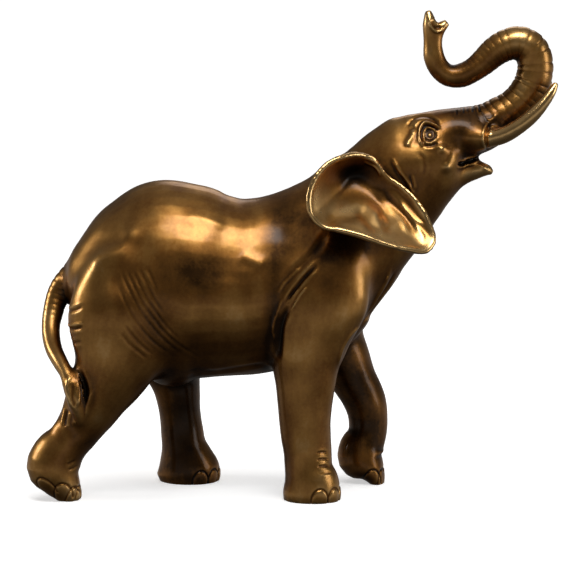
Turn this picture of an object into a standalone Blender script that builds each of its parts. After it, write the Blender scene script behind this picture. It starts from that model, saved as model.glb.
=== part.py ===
"""A cast bronze elephant, striding with its head raised and its trunk curled up, in one piece.

It faces +X, its near flank is -Y, and its soles lie on z = 0. Places and girths of the figure are
written in parts of its height, about a thousand of them.
"""
import math

import bmesh
import bpy
import numpy as np
from mathutils import Vector
from mathutils.bvhtree import BVHTree

# Driving dimensions, in metres
HEIGHT = 0.360
EAR_THICKNESS = 0.0030
EAR_RIM_RADIUS = 0.0021
GRAIN = 0.0015

# The figure is drawn in parts of its height, and its highest point is at this many of them
TIP_HEIGHT = 1004.3

# Triangles of the finished solid, and how close to the ground its points count as on it
TRIANGLES = 9600
SOLE_SLACK = 0.1

UNIT = HEIGHT / TIP_HEIGHT

# Distance between the rings of the lofted forms
LARGE_STEP = 9.0
TAIL_STEP = 6.0
SMALL_STEP = 5.0
FINE_STEP = 4.0

# The first forms are the torso and legs, then the rest of the head, and then tusks, fingers, tail and ears
LAST_LEG_INDEX = 4
LAST_HEAD_INDEX = 9

# Widths of the soft fillets where one form runs into the others
BODY_FILLET = 30.0
HIND_LEG_FILLET = 34.0
FORE_LEG_FILLET = 30.0
WITHERS_FILLET = 30.0
JAW_FILLET = 14.0
LIP_FILLET = 12.0
TAIL_FILLET = 9.0
MOUTH_FILLET = 8.0
EAR_FILLET = 8.0
FINGER_FILLET = 6.0
TUSK_FILLET = 4.0

# Strength of each round of smoothing in the fillets, and of each round all over the skin
FILLET_EASING = (0.5,) * 40
SKIN_EASING = (0.5, -0.52) * 4

# Torso, neck, head and trunk: x, z, half height, half width, share by which the underside is wider
BODY = (
    (-460, 400, 24, 24, 0.0),
    (-452, 403, 57, 56, 0.0),
    (-436, 408, 91, 90, 0.05),
    (-412, 414, 118, 113, 0.05),
    (-380, 421, 153, 135, 0.08),
    (-340, 428, 184, 150, 0.10),
    (-294, 434, 209, 159, 0.12),
    (-248, 437, 216, 162, 0.14),
    (-198, 437, 207, 160, 0.14),
    (-148, 432, 193, 152, 0.14),
    (-92, 430, 185, 144, 0.12),
    (-36, 438, 183, 137, 0.10),
    (18, 454, 181, 131, 0.06),
    (58, 490, 165, 122, 0.03),
    (99, 526, 152, 112, 0.0),
    (139, 563, 139, 100, 0.0),
    (179, 601, 128, 90, 0.0),
    (211, 638, 119, 84, 0.0),
    (250, 680, 111, 80, 0.05),
    (284, 710, 101, 76, 0.10),
    (301, 726, 87, 71, 0.10),
    (320, 739, 69, 64, 0.08),
    (348, 750, 55, 55, 0.0),
    (381, 756, 52, 49, 0.0),
    (414, 769, 47, 44, 0.0),
    (439, 787, 41, 41, 0.0),
    (463, 803, 38, 39, 0.0),
    (487, 829, 37, 38, 0.0),
    (504, 862, 37, 36, 0.0),
    (508, 893, 37, 35, 0.0),
    (498, 921, 36, 34, 0.0),
    (475, 934, 35, 33, 0.0),
    (449, 930, 33, 31, 0.0),
    (424, 917, 31, 29, 0.0),
    (401, 899, 28, 27, 0.0),
    (379, 882, 25, 26, 0.0),
    (353, 870, 25, 24, 0.0),
    (328, 869, 24, 23, 0.0),
    (309, 883, 22, 22, 0.0),
    (296, 903, 21, 21, 0.0),
    (293, 926, 20, 20, 0.0),
    (294, 947, 20, 20, 0.0),
)

# Legs from the sole up: x, z, half length fore and aft, half width, distance out from the middle
NEAR_HIND = (
    (-452, -4, 19, 28, 102),
    (-461, 17, 30, 40, 102),
    (-476, 42, 44, 48, 102),
    (-488, 66, 57, 52, 102),
    (-481, 90, 55, 50, 101),
    (-457, 119, 47, 46, 100),
    (-435, 151, 49, 47, 100),
    (-415, 184, 58, 51, 100),
    (-396, 218, 65, 58, 100),
    (-372, 257, 77, 65, 100),
    (-351, 311, 104, 71, 99),
    (-336, 378, 121, 74, 97),
    (-326, 446, 111, 68, 95),
    (-321, 518, 78, 50, 88),
)
FAR_HIND = (
    (-217, -8, 60, 56, 96),
    (-217, 20, 69, 60, 96),
    (-223, 52, 58, 56, 96),
    (-228, 78, 48, 51, 96),
    (-231, 104, 46, 49, 96),
    (-237, 156, 45, 50, 96),
    (-244, 212, 53, 57, 96),
    (-256, 256, 68, 64, 97),
    (-279, 314, 90, 70, 98),
    (-300, 389, 104, 73, 97),
    (-321, 471, 94, 62, 92),
)
NEAR_FORE = (
    (43, -12, 55, 53, 104),
    (45, 15, 60, 58, 104),
    (43, 40, 57, 55, 104),
    (38, 65, 50, 50, 102),
    (37, 90, 49, 48, 100),
    (32, 140, 52, 48, 100),
    (31, 191, 55, 51, 99),
    (32, 245, 63, 56, 98),
    (33, 287, 71, 60, 96),
    (41, 326, 79, 63, 93),
    (50, 369, 92, 66, 90),
    (59, 410, 101, 66, 87),
    (68, 455, 102, 60, 84),
    (80, 507, 84, 50, 78),
    (84, 560, 55, 34, 70),
)
FAR_FORE = (
    (186, -12, 12, 30, 76),
    (185, 3, 16, 40, 76),
    (175, 25, 31, 47, 78),
    (155, 50, 51, 50, 80),
    (155, 74, 48, 47, 83),
    (165, 100, 42, 43, 86),
    (167, 130, 42, 43, 90),
    (164, 158, 44, 47, 93),
    (154, 186, 46, 50, 96),
    (137, 217, 50, 53, 96),
    (118, 256, 56, 58, 96),
    (100, 299, 61, 62, 95),
    (89, 357, 69, 64, 92),
    (82, 421, 74, 60, 88),
    (76, 486, 64, 48, 80),
)

# Tail, from the rump down to the tuft: x, y, z, half width fore and aft, half width across
TAIL = (
    (-425, 0, 478, 26, 28),
    (-448, 0, 464, 26, 28),
    (-468, -2, 443, 25, 26),
    (-482, -6, 417, 25, 23),
    (-491, -17, 389, 23, 21),
    (-497, -34, 358, 20, 20),
    (-495, -56, 332, 19, 18),
    (-486, -84, 308, 18, 17),
    (-471, -110, 287, 17, 17),
    (-456, -132, 266, 16, 16),
    (-446, -147, 243, 19, 16),
    (-439, -155, 215, 17, 15),
    (-433, -156, 187, 11, 10),
    (-428, -152, 160, 4, 5),
)

# Withers, and the block that closes the back of the open mouth, in the tail's columns
WITHERS = (
    (-95, 0, 580, 20, 44),
    (-70, 0, 585, 29, 60),
    (-23, 0, 598, 31, 66),
    (27, 0, 618, 28, 64),
    (77, 0, 660, 26, 56),
    (112, 0, 692, 22, 46),
)
MOUTH = (
    (320, 0, 690, 20, 26),
    (350, 0, 700, 24, 28),
    (372, 0, 704, 22, 24),
    (386, 0, 705, 14, 16),
)

# Near tusk, its lip fold, the lower jaw and the two fingers of the trunk, in the tail's columns
TUSK = (
    (372, -30, 744, 18, 17),
    (409, -48, 743, 19, 19),
    (439, -58, 751, 18, 18),
    (471, -65, 770, 16, 17),
    (500, -67, 795, 14, 14),
    (524, -64, 823, 11, 11),
    (539, -60, 845, 7, 7),
    (546, -58, 858, 3, 3),
)
LIP_FOLD = (
    (350, -22, 744, 26, 22),
    (376, -33, 744, 30, 26),
    (396, -41, 744, 31, 27),
    (411, -46, 745, 25, 23),
)
JAW = (
    (300, 0, 650, 44, 48),
    (330, 0, 660, 36, 41),
    (355, 0, 668, 28, 34),
    (378, 0, 675, 22, 28),
    (396, 0, 677, 18, 23),
    (408, 0, 675, 13, 17),
    (416, 0, 672, 8, 11),
    (421, 0, 669, 4, 6),
)
LONG_FINGER = (
    (293, 0, 940, 20, 20),
    (290, 0, 967, 17, 18),
    (287, 0, 990, 11, 13),
    (285, 0, 1004, 6, 7),
)
SHORT_FINGER = (
    (295, 0, 940, 20, 20),
    (306, 0, 961, 16, 16),
    (317, 0, 973, 11, 12),
    (325, 0, 980, 7, 7),
)

# Creases in the skin of both flanks: places x, z along each, width and depth
CREASES = (
    (((-337, 500), (-330, 468), (-318, 437), (-304, 406), (-286, 376), (-264, 351), (-237, 333),
      (-201, 318)), 6, 3),
    (((-350, 470), (-338, 431), (-324, 404), (-310, 384), (-292, 364), (-270, 339), (-252, 325)), 6, 3),
    (((-358, 434), (-351, 410), (-335, 383), (-319, 363), (-298, 340), (-276, 322)), 6, 3),
    (((-339, 354), (-319, 338), (-299, 319), (-283, 305)), 6, 2),
    (((-319, 484), (-309, 462), (-297, 440), (-287, 421)), 5, 3),
    (((-452, 393), (-437, 397), (-421, 406)), 6, 5),
    (((-450, 358), (-435, 360), (-419, 366)), 6, 5),
    (((-187, 268), (-158, 264), (-125, 268), (-84, 275), (-47, 281)), 6, 3),
    (((-22, 430), (-6, 443), (14, 468), (30, 484)), 6, 4),
    (((-20, 391), (4, 420), (24, 449), (42, 471)), 6, 5),
    (((-2, 379), (9, 395), (21, 407), (32, 430)), 5, 4),
    (((-29, 320), (-37, 361), (-39, 402), (-31, 442)), 7, 5),
    (((205, 480), (204, 452), (180, 407), (158, 370), (136, 342)), 6, 2),
    (((212, 701), (218, 681), (229, 656)), 6, 4),
    (((226, 685), (235, 664), (239, 644)), 5, 3),
    (((343, 690), (351, 678), (358, 665)), 5, 4),
)

# Soft swellings (and hollows, with a negative height) of both flanks: x, z, radius, height
SWELLINGS = (
    (-144, 400, 95, 7),
    (-351, 466, 34, -7),
    (-395, 380, 60, 4),
    (70, 415, 55, 4),
    (100, 500, 40, 4),
    (246, 760, 22, -5),
    (330, 705, 26, 5),
    (262, 690, 34, 4),
    (372, 762, 26, 4),
)

# Crest of the hip bone on both flanks: places x, z along it, width and height
HIP_CREST = ((-397, 492), (-381, 508), (-363, 510), (-348, 519), (-334, 539), (-322, 565))
HIP_CREST_WIDTH = 12
HIP_CREST_HEIGHT = 6

# Eyes: place x, z on both sides of the head, radius of the ball, reach, length and slant of the lids
EYE = (286, 753)
EYE_RADIUS = 10.5
LID_REACH = 17.0
LID_LENGTH = 23.0
LID_SLANT = math.radians(28)
BALL_HEIGHT = 5.0
SOCKET_DEPTH = 5.0
LID_HEIGHT = 3.5

# Rings round the trunk: distance from one to the next, their depth, where they start, how far along
# the trunk they take to fade in and out, and how far from its middle line they reach
RING_PITCH = 17.0
RING_DEPTH = 2.0
TRUNK_START = 345.0
RING_FADE_IN = 60.0
RING_FADE_OUT = 80.0
WIDEST_TRUNK = 70.0

# Toenails: foot centre x, y, z, half length, half width and the headings of its nails in degrees
TOENAILS = (
    ((45, -104, 8), (60, 58), (-58, 4, -30, -66, -102)),
    ((-217, 96, 8), (69, 60), (-4, 34, -40, 72)),
    ((166, 77, 18), (42, 48), (-48, -16, 20, 52)),
    ((-462, -102, 18), (45, 46), (20, -18, -56, -92)),
)
NAIL_WIDTH = 17.0
NAIL_HEIGHT = 25.0
NAIL_RISE = 2.0
NAIL_GROOVE = 3.0
NAIL_REACH = 26.0

# Rim of the near ear, from its root round the back to the tip and up its front edge: x, y, z
EAR_RIM = (
    (170, -100, 702),
    (141, -120, 714),
    (109, -142, 712),
    (74, -159, 697),
    (50, -172, 670),
    (38, -181, 635),
    (41, -186, 600),
    (62, -186, 576),
    (98, -185, 567),
    (142, -185, 555),
    (189, -184, 539),
    (237, -179, 527),
    (276, -166, 523),
    (291, -152, 540),
    (281, -137, 579),
    (258, -120, 618),
    (224, -107, 650),
    (191, -98, 675),
)
EAR_HOLLOW = (134, -80, 666)

# The far ear is smaller by these shares, and shifted out of line
FAR_EAR_SHARES = (0.92, 0.70, 0.90)
FAR_EAR_SHIFT = (6.0, 6.0, -22.0)

# Rings of faces in an ear, and the folds that fan out to its tip: height, heading, spread and closeness
EAR_RINGS = 12
EAR_FOLD_HEIGHT = 5.0
EAR_FOLD_HEADING = -0.75
EAR_FOLD_SPREAD = 0.55
EAR_FOLDS = 15.0


def normalised(vectors):
    """The same directions with a length of one."""
    return vectors / np.maximum(np.linalg.norm(vectors, axis=1, keepdims=True), 1e-12)


def smooth_rows(rows, spacing, closed=False):
    """Even samples of a smooth curve through rows of numbers whose first three are a place."""
    overlap = 3 if closed else 0
    wrapped = tuple(rows[len(rows) - overlap:]) + tuple(rows) + tuple(rows[:overlap + closed])
    rows = np.array(wrapped, float)
    steps = np.linalg.norm(np.diff(rows[:, :3], axis=0), axis=1)
    along = np.concatenate([[0.0], np.cumsum(steps)])
    slopes = np.gradient(rows, along, axis=0)
    start = along[overlap]
    end = along[len(along) - 1 - overlap]
    at = np.linspace(start, end, int((end - start) / spacing) + 2, endpoint=not closed)
    low = np.clip(np.searchsorted(along, at, side="right") - 1, 0, len(along) - 2)
    gap = (along[low + 1] - along[low])[:, None]
    t = (at - along[low])[:, None] / gap
    leave = slopes[low] * gap
    arrive = slopes[low + 1] * gap
    return ((2 * t ** 3 - 3 * t ** 2 + 1) * rows[low] + (t ** 3 - 2 * t ** 2 + t) * leave
            + (3 * t ** 2 - 2 * t ** 3) * rows[low + 1] + (t ** 3 - t ** 2) * arrive)


def loft(curve, sides=32, closed=False):
    """Body of elliptic rings threaded on a curve: place, half height, half width, low swell."""
    centres = curve[:, :3]
    tangents = normalised(np.gradient(centres, axis=0))
    across = normalised(np.array([0.0, 1.0, 0.0]) - tangents * tangents[:, 1:2])
    rise = np.cross(tangents, across)
    bm = bmesh.new()
    loops = []
    for index, centre in enumerate(centres):
        height, width, swell = curve[index, 3:6]
        ring = []
        for step in range(sides):
            turn = 2 * math.pi * step / sides
            up = height * math.cos(turn)
            out = width * math.sin(turn) * (1 - swell * math.cos(turn))
            place = centre + rise[index] * up + across[index] * out
            ring.append(bm.verts.new(place * UNIT))
        loops.append([bm.edges.new((ring[k - 1], ring[k])) for k in range(sides)])
        if not closed and index in (0, len(centres) - 1):
            bm.faces.new(ring)
    for lower, upper in zip(loops, loops[1:]):
        bmesh.ops.bridge_loops(bm, edges=lower + upper)
    if closed:
        bmesh.ops.bridge_loops(bm, edges=loops[-1] + loops[0])
    bmesh.ops.recalc_face_normals(bm, faces=bm.faces)
    return bm


def body_rows():
    """The body's rows with their place in the middle plane."""
    return [(x, 0.0, z, height, width, swell) for x, z, height, width, swell in BODY]


def leg_rows(rows, side):
    """A leg's rows on one side: -1 is the near side, +1 the far one."""
    return [(x, side * out, z, length, width, 0.0) for x, z, length, width, out in rows]


def mirrored_rows(rows, side):
    """Rows of a small part of the head or tail, turned to one side."""
    return [(x, -side * y, z, height, width, 0.0) for x, y, z, height, width in rows]


def ear_curve(side):
    """Rim of one ear; the far one hangs a little lower and closer to the neck."""
    rim = smooth_rows(EAR_RIM, LARGE_STEP, closed=True)
    hollow = np.array(EAR_HOLLOW, float)
    if side < 0:
        return rim, hollow
    shifted = hollow + np.array(FAR_EAR_SHIFT)
    smaller = (rim - hollow) * np.array(FAR_EAR_SHARES) + shifted
    flip = np.array([1.0, -1.0, 1.0])
    return smaller * flip, shifted * flip


def ear(side):
    """Cupped ear: a bowl that opens outward from its hollow to a rolled rim."""
    rim, hollow = ear_curve(side)
    bm = bmesh.new()
    loops = []
    for ring in range(1, EAR_RINGS + 1):
        share = ring / EAR_RINGS
        depth = share ** 1.8 * 0.55 + 0.45 * (3 * share ** 2 - 2 * share ** 3)
        places = hollow + (rim - hollow) * np.array([share, depth, share])
        angles = np.arctan2(places[:, 2] - hollow[2], places[:, 0] - hollow[0])
        fan = np.exp(-((angles - EAR_FOLD_HEADING) / EAR_FOLD_SPREAD) ** 2) * np.sin(math.pi * share)
        places[:, 1] += side * EAR_FOLD_HEIGHT * fan * np.sin(angles * EAR_FOLDS)
        verts = [bm.verts.new(place * UNIT) for place in places]
        loops.append([bm.edges.new((verts[k - 1], verts[k])) for k in range(len(verts))])
        if ring == 1:
            bm.faces.new(verts)
    for inner, outer in zip(loops, loops[1:]):
        bmesh.ops.bridge_loops(bm, edges=inner + outer)
    bmesh.ops.recalc_face_normals(bm, faces=bm.faces)
    sheet = thickened(bm, EAR_THICKNESS)
    girth = np.full((len(rim), 2), EAR_RIM_RADIUS / UNIT)
    edge = loft(np.hstack([rim, girth, np.zeros((len(rim), 1))]), sides=10, closed=True)
    return joined([sheet, edge])


def joined(forms):
    """One bmesh of several."""
    total = bmesh.new()
    for form in forms:
        mesh = bpy.data.meshes.new("part")
        form.to_mesh(mesh)
        form.free()
        total.from_mesh(mesh)
        bpy.data.meshes.remove(mesh)
    return total


def evaluated(mesh, set_up):
    """Mesh of a scratch object after the modifiers that set_up adds to it."""
    scratch = bpy.data.objects.new("scratch", mesh)
    bpy.context.collection.objects.link(scratch)
    set_up(scratch)
    depsgraph = bpy.context.evaluated_depsgraph_get()
    result = bpy.data.meshes.new_from_object(scratch.evaluated_get(depsgraph))
    bpy.data.objects.remove(scratch)
    return result


def thickened(bm, thickness):
    """A sheet given its thickness on both sides."""
    mesh = bpy.data.meshes.new("sheet")
    bm.to_mesh(mesh)
    bm.free()

    def set_up(scratch):
        solidify = scratch.modifiers.new("Thickness", "SOLIDIFY")
        solidify.thickness = thickness
        solidify.offset = 0.0

    result = bmesh.new()
    result.from_mesh(evaluated(mesh, set_up))
    return result


def forms():
    """Every lofted form, with the width of its fillet."""
    near = -1
    far = 1
    return (
        (loft(smooth_rows(body_rows(), LARGE_STEP), sides=48), BODY_FILLET),
        (loft(smooth_rows(leg_rows(NEAR_HIND, near), LARGE_STEP)), HIND_LEG_FILLET),
        (loft(smooth_rows(leg_rows(FAR_HIND, far), LARGE_STEP)), HIND_LEG_FILLET),
        (loft(smooth_rows(leg_rows(NEAR_FORE, near), LARGE_STEP)), FORE_LEG_FILLET),
        (loft(smooth_rows(leg_rows(FAR_FORE, far), LARGE_STEP)), FORE_LEG_FILLET),
        (loft(smooth_rows(mirrored_rows(JAW, near), SMALL_STEP), sides=24), JAW_FILLET),
        (loft(smooth_rows(mirrored_rows(WITHERS, near), LARGE_STEP)), WITHERS_FILLET),
        (loft(smooth_rows(mirrored_rows(MOUTH, near), SMALL_STEP), sides=24), MOUTH_FILLET),
        (loft(smooth_rows(mirrored_rows(LIP_FOLD, near), SMALL_STEP), sides=24), LIP_FILLET),
        (loft(smooth_rows(mirrored_rows(LIP_FOLD, far), SMALL_STEP), sides=24), LIP_FILLET),
        (loft(smooth_rows(mirrored_rows(TUSK, near), SMALL_STEP), sides=20), TUSK_FILLET),
        (loft(smooth_rows(mirrored_rows(TUSK, far), SMALL_STEP), sides=20), TUSK_FILLET),
        (loft(smooth_rows(mirrored_rows(LONG_FINGER, near), FINE_STEP), sides=16), FINGER_FILLET),
        (loft(smooth_rows(mirrored_rows(SHORT_FINGER, near), FINE_STEP), sides=16), FINGER_FILLET),
        (loft(smooth_rows(mirrored_rows(TAIL, near), TAIL_STEP), sides=20), TAIL_FILLET),
        (ear(near), EAR_FILLET),
        (ear(far), EAR_FILLET),
    )


def skin(shapes):
    """All the forms under one skin of small even faces."""
    copies = [form.copy() for form, fillet in shapes]
    total = joined(copies)
    mesh = bpy.data.meshes.new("forms")
    total.to_mesh(mesh)
    total.free()

    def set_up(scratch):
        remesh = scratch.modifiers.new("Skin", "REMESH")
        remesh.mode = "VOXEL"
        remesh.voxel_size = GRAIN

    return evaluated(mesh, set_up)


def edge_pairs(mesh):
    """The two vertices of every edge."""
    pairs = np.empty(len(mesh.edges) * 2, dtype=np.int32)
    mesh.edges.foreach_get("vertices", pairs)
    return pairs.reshape(-1, 2)


def without_bubbles(mesh):
    """A mesh without the small closed bubbles that lie hidden between its forms."""
    label = np.arange(len(mesh.vertices))
    pairs = edge_pairs(mesh)
    settled = False
    while not settled:
        low = np.minimum(label[pairs[:, 0]], label[pairs[:, 1]])
        merged = label.copy()
        np.minimum.at(merged, pairs[:, 0], low)
        np.minimum.at(merged, pairs[:, 1], low)
        merged = merged[merged]
        settled = (merged == label).all()
        label = merged
    names, counts = np.unique(label, return_counts=True)
    bm = bmesh.new()
    bm.from_mesh(mesh)
    bm.verts.ensure_lookup_table()
    bubbles = [bm.verts[index] for index in np.nonzero(label != names[counts.argmax()])[0]]
    bmesh.ops.delete(bm, geom=bubbles, context="VERTS")
    bm.to_mesh(mesh)
    bm.free()
    return mesh


def places_of(mesh):
    """Vertex places of a mesh, in parts of the height."""
    flat = np.empty(len(mesh.vertices) * 3)
    mesh.vertices.foreach_get("co", flat)
    return flat.reshape(-1, 3) / UNIT


def normals_of(mesh):
    """Vertex normals of a mesh."""
    flat = np.empty(len(mesh.vertices) * 3)
    mesh.vertices.foreach_get("normal", flat)
    return flat.reshape(-1, 3)


def move_to(mesh, places):
    """Moves the vertices of a mesh to new places."""
    mesh.vertices.foreach_set("co", (places * UNIT).ravel())
    mesh.update()


def reach(shapes, places, limit):
    """Distance from every place to every form, no more than a limit."""
    found = np.full((len(shapes), len(places)), limit)
    for row, (form, fillet) in enumerate(shapes):
        corners = np.array([vert.co for vert in form.verts]) / UNIT
        inside = (places > corners.min(axis=0) - limit) & (places < corners.max(axis=0) + limit)
        tree = BVHTree.FromBMesh(form)
        for index in np.nonzero(inside.all(axis=1))[0]:
            hit = tree.find_nearest(Vector(places[index]) * UNIT, limit * UNIT)
            if hit[3] is not None:
                found[row, index] = hit[3] / UNIT
    return found


def crease_weights(shapes, distances):
    """How near each place is to a crease between two forms: 1 in it, 0 away from it."""
    weights = np.zeros(distances.shape[1])
    for row, (form, fillet) in enumerate(shapes):
        others = np.delete(distances, row, axis=0).min(axis=0)
        gap = np.clip(np.maximum(others, distances[row]) / fillet, 0.0, 1.0)
        weights = np.maximum(weights, (1 - gap) ** 2 * (1 + 2 * gap))
    return weights


def eased(mesh, places, weights, strengths):
    """Places drawn by weight toward their neighbours' middle, once for each strength."""
    pairs = edge_pairs(mesh)
    both = np.concatenate([pairs[:, 0], pairs[:, 1]])
    across = np.concatenate([pairs[:, 1], pairs[:, 0]])
    count = np.bincount(both, minlength=len(places))[:, None]
    weights = weights[:, None]
    for strength in strengths:
        middle = np.stack([np.bincount(both, places[across, axis], len(places))
                           for axis in range(3)], axis=1) / count
        places = places + strength * weights * (middle - places)
    return places


def pressed_flat(places):
    """The soles pressed flat on the ground."""
    places = places.copy()
    places[:, 2] = np.maximum(places[:, 2], 0.0)
    return places


def facing_out(places, normals):
    """How much each place belongs to an outer flank: 1 facing out, 0 on inner and end faces."""
    return np.clip((np.sign(places[:, 1]) * normals[:, 1] - 0.05) / 0.3, 0.0, 1.0)


def distance_to_line(points, line):
    """Distance of each point to a broken line, and the share of the line passed there."""
    nearest = np.full(len(points), np.inf)
    passed = np.zeros(len(points))
    for index in range(len(line) - 1):
        start = line[index]
        run = line[index + 1] - start
        share = np.clip((points - start) @ run / (run @ run), 0.0, 1.0)
        gap = np.linalg.norm(points - start - share[:, None] * run, axis=1)
        closer = gap < nearest
        nearest[closer] = gap[closer]
        passed[closer] = (index + share[closer]) / (len(line) - 1)
    return nearest, passed


def flank_line(points):
    """A smooth line on a flank through its chosen places."""
    rows = [(x, 0.0, z) for x, z in points]
    return smooth_rows(rows, TAIL_STEP)[:, [0, 2]]


def creases(places, normals):
    """Depth cut by the skin creases, with a low ridge on each side."""
    height = np.zeros(len(places))
    flat = places[:, [0, 2]]
    for points, width, depth in CREASES:
        gap, passed = distance_to_line(flat, flank_line(points))
        ends = np.clip(np.minimum(passed, 1 - passed) * 6, 0.0, 1.0)
        cut = np.exp(-(gap / width) ** 2)
        ridge = np.exp(-((gap - 2 * width) / width) ** 2)
        height += ends * depth * (0.35 * ridge - cut)
    return height * facing_out(places, normals)


def swellings(places, normals):
    """Height of the muscles and bones under the skin of the flanks."""
    height = np.zeros(len(places))
    flat = places[:, [0, 2]]
    for x, z, radius, rise in SWELLINGS:
        gap = np.linalg.norm(flat - np.array([x, z]), axis=1)
        height += rise * np.exp(-(gap / radius) ** 2)
    gap, passed = distance_to_line(flat, flank_line(HIP_CREST))
    height += HIP_CREST_HEIGHT * np.exp(-(gap / HIP_CREST_WIDTH) ** 2)
    return height * facing_out(places, normals)


def eyes(places, normals):
    """A round ball between two lids, in a shallow socket."""
    x = places[:, 0] - EYE[0]
    z = places[:, 2] - EYE[1]
    along = x * math.cos(LID_SLANT) + z * math.sin(LID_SLANT)
    up = z * math.cos(LID_SLANT) - x * math.sin(LID_SLANT)
    from_centre = np.hypot(x, z) / EYE_RADIUS
    from_lids = np.hypot(along / LID_LENGTH, up / LID_REACH)
    ball = BALL_HEIGHT * np.sqrt(np.clip(1 - from_centre ** 2, 0.0, 1.0))
    socket = -SOCKET_DEPTH * np.exp(-((from_centre - 1.15) / 0.35) ** 2)
    lids = LID_HEIGHT * np.exp(-((from_lids - 0.95) / 0.22) ** 2)
    return (ball + socket + lids) * facing_out(places, normals)


def trunk_rings(places, normals, spine):
    """Rings round the trunk, deepest half way up and fading toward the forehead."""
    height = np.zeros(len(places))
    start = int(np.argmax(spine[:, 0] > TRUNK_START))
    trunk = spine[start:, :3]
    along = np.arange(len(trunk)) * np.linalg.norm(trunk[1] - trunk[0])
    picked = np.nonzero(places[:, 0] > trunk[:, 0].min() - WIDEST_TRUNK)[0]
    for index in picked:
        gaps = np.linalg.norm(trunk - places[index], axis=1)
        near = int(np.argmin(gaps))
        if near == 0 or gaps[near] > WIDEST_TRUNK:
            continue
        step = trunk[min(near + 1, len(trunk) - 1)] - trunk[near - 1]
        beyond = (places[index] - trunk[near]) @ step / np.linalg.norm(step)
        passed = along[near] + beyond
        fade = min(1.0, passed / RING_FADE_IN) * min(1.0, max(0.0, (along[-1] - passed) / RING_FADE_OUT))
        wave = abs(math.sin(math.pi * passed / RING_PITCH))
        height[index] = RING_DEPTH * fade * (wave ** 0.6 - 0.8)
    return height


def toenails(places, normals):
    """Arched nails round the front of each foot."""
    height = np.zeros(len(places))
    for centre, (length, width), headings in TOENAILS:
        for heading in headings:
            turn = math.radians(heading)
            out = np.array([math.cos(turn), math.sin(turn), 0.0])
            across = np.array([-out[1], out[0], 0.0])
            middle = np.array(centre, float) + out * np.array([length, width, 0.0])
            away = places - middle
            side = away @ across / NAIL_WIDTH
            rise = away[:, 2] / NAIL_HEIGHT
            size = np.hypot(side, np.where(rise > 0, rise, rise * 0.3))
            shown = (np.abs(away @ out) < NAIL_REACH) & (normals @ out > 0.1)
            nail = NAIL_RISE * np.clip(1 - size ** 2, 0.0, 1.0)
            groove = -NAIL_GROOVE * np.exp(-((size - 1.08) / 0.16) ** 2)
            height += np.where(shown, nail + groove, 0.0)
    return height


def carved(mesh, places, nearest, spine):
    """Places moved along their normals by the carving of the skin."""
    move_to(mesh, places)
    normals = normals_of(mesh)
    skin_only = nearest <= LAST_HEAD_INDEX
    height = creases(places, normals) + swellings(places, normals) + eyes(places, normals)
    height = np.where(skin_only, height, 0.0)
    height += np.where(nearest == 0, trunk_rings(places, normals, spine), 0.0)
    height += np.where(nearest <= LAST_LEG_INDEX, toenails(places, normals), 0.0)
    return places + normals * height[:, None]


def centre_over_origin(mesh):
    """Moves a mesh so that its extents are centred over the origin, its soles flat on z = 0."""
    places = places_of(mesh)
    middle = (places.min(axis=0) + places.max(axis=0)) / 2
    places -= np.array([middle[0], middle[1], 0.0])
    places[places[:, 2] < SOLE_SLACK, 2] = 0.0
    move_to(mesh, places)


def bronze():
    """Aged golden-brown bronze."""
    material = bpy.data.materials.new("Aged bronze")
    material.use_nodes = True
    shader = material.node_tree.nodes["Principled BSDF"]
    shader.inputs["Base Color"].default_value = (0.27, 0.15, 0.055, 1.0)
    shader.inputs["Metallic"].default_value = 0.9
    shader.inputs["Roughness"].default_value = 0.32
    return material


def elephant():
    """The whole casting as one solid."""
    shapes = forms()
    mesh = without_bubbles(skin(shapes))
    places = places_of(mesh)
    distances = reach(shapes, places, max(fillet for form, fillet in shapes))
    places = eased(mesh, places, crease_weights(shapes, distances), FILLET_EASING)
    places = eased(mesh, places, np.ones(len(places)), SKIN_EASING)
    spine = smooth_rows(body_rows(), FINE_STEP)
    places = carved(mesh, places, distances.argmin(axis=0), spine)
    places = pressed_flat(places)
    move_to(mesh, places)
    for form, fillet in shapes:
        form.free()

    def set_up(scratch):
        decimate = scratch.modifiers.new("Facets", "DECIMATE")
        decimate.ratio = TRIANGLES / (2 * len(mesh.polygons))
        decimate.use_collapse_triangulate = True

    faceted = evaluated(mesh, set_up)
    centre_over_origin(faceted)
    faceted.shade_smooth()
    faceted.materials.append(bronze())
    statue = bpy.data.objects.new("elephant", faceted)
    bpy.context.collection.objects.link(statue)


def main():
    for old in list(bpy.data.objects):
        bpy.data.objects.remove(old)
    elephant()


main()
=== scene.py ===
import math

import bmesh
import bpy
import numpy as np
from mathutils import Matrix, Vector, noise
from mathutils.bvhtree import BVHTree
from mathutils.kdtree import KDTree


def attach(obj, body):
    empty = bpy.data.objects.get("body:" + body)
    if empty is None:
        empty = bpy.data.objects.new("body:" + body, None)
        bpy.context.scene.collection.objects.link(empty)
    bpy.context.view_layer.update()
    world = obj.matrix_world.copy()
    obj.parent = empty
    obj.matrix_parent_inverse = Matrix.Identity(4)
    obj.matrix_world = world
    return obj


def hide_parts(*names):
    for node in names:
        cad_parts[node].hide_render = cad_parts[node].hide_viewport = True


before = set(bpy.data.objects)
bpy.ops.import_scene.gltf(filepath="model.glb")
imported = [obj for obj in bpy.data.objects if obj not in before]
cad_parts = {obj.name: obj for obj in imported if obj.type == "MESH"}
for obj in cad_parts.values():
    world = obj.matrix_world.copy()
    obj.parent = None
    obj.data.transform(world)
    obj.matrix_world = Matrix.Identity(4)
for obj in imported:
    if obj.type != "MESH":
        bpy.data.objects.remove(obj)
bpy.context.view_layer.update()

# Driving dimensions, in metres
HEIGHT = 0.360
EAR_THICKNESS = 0.0030
EAR_RIM_RADIUS = 0.0021
GRAIN = 0.0012

# The figure is drawn in parts of its height, and its highest point is at this many of them
TIP_HEIGHT = 1004.3

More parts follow.
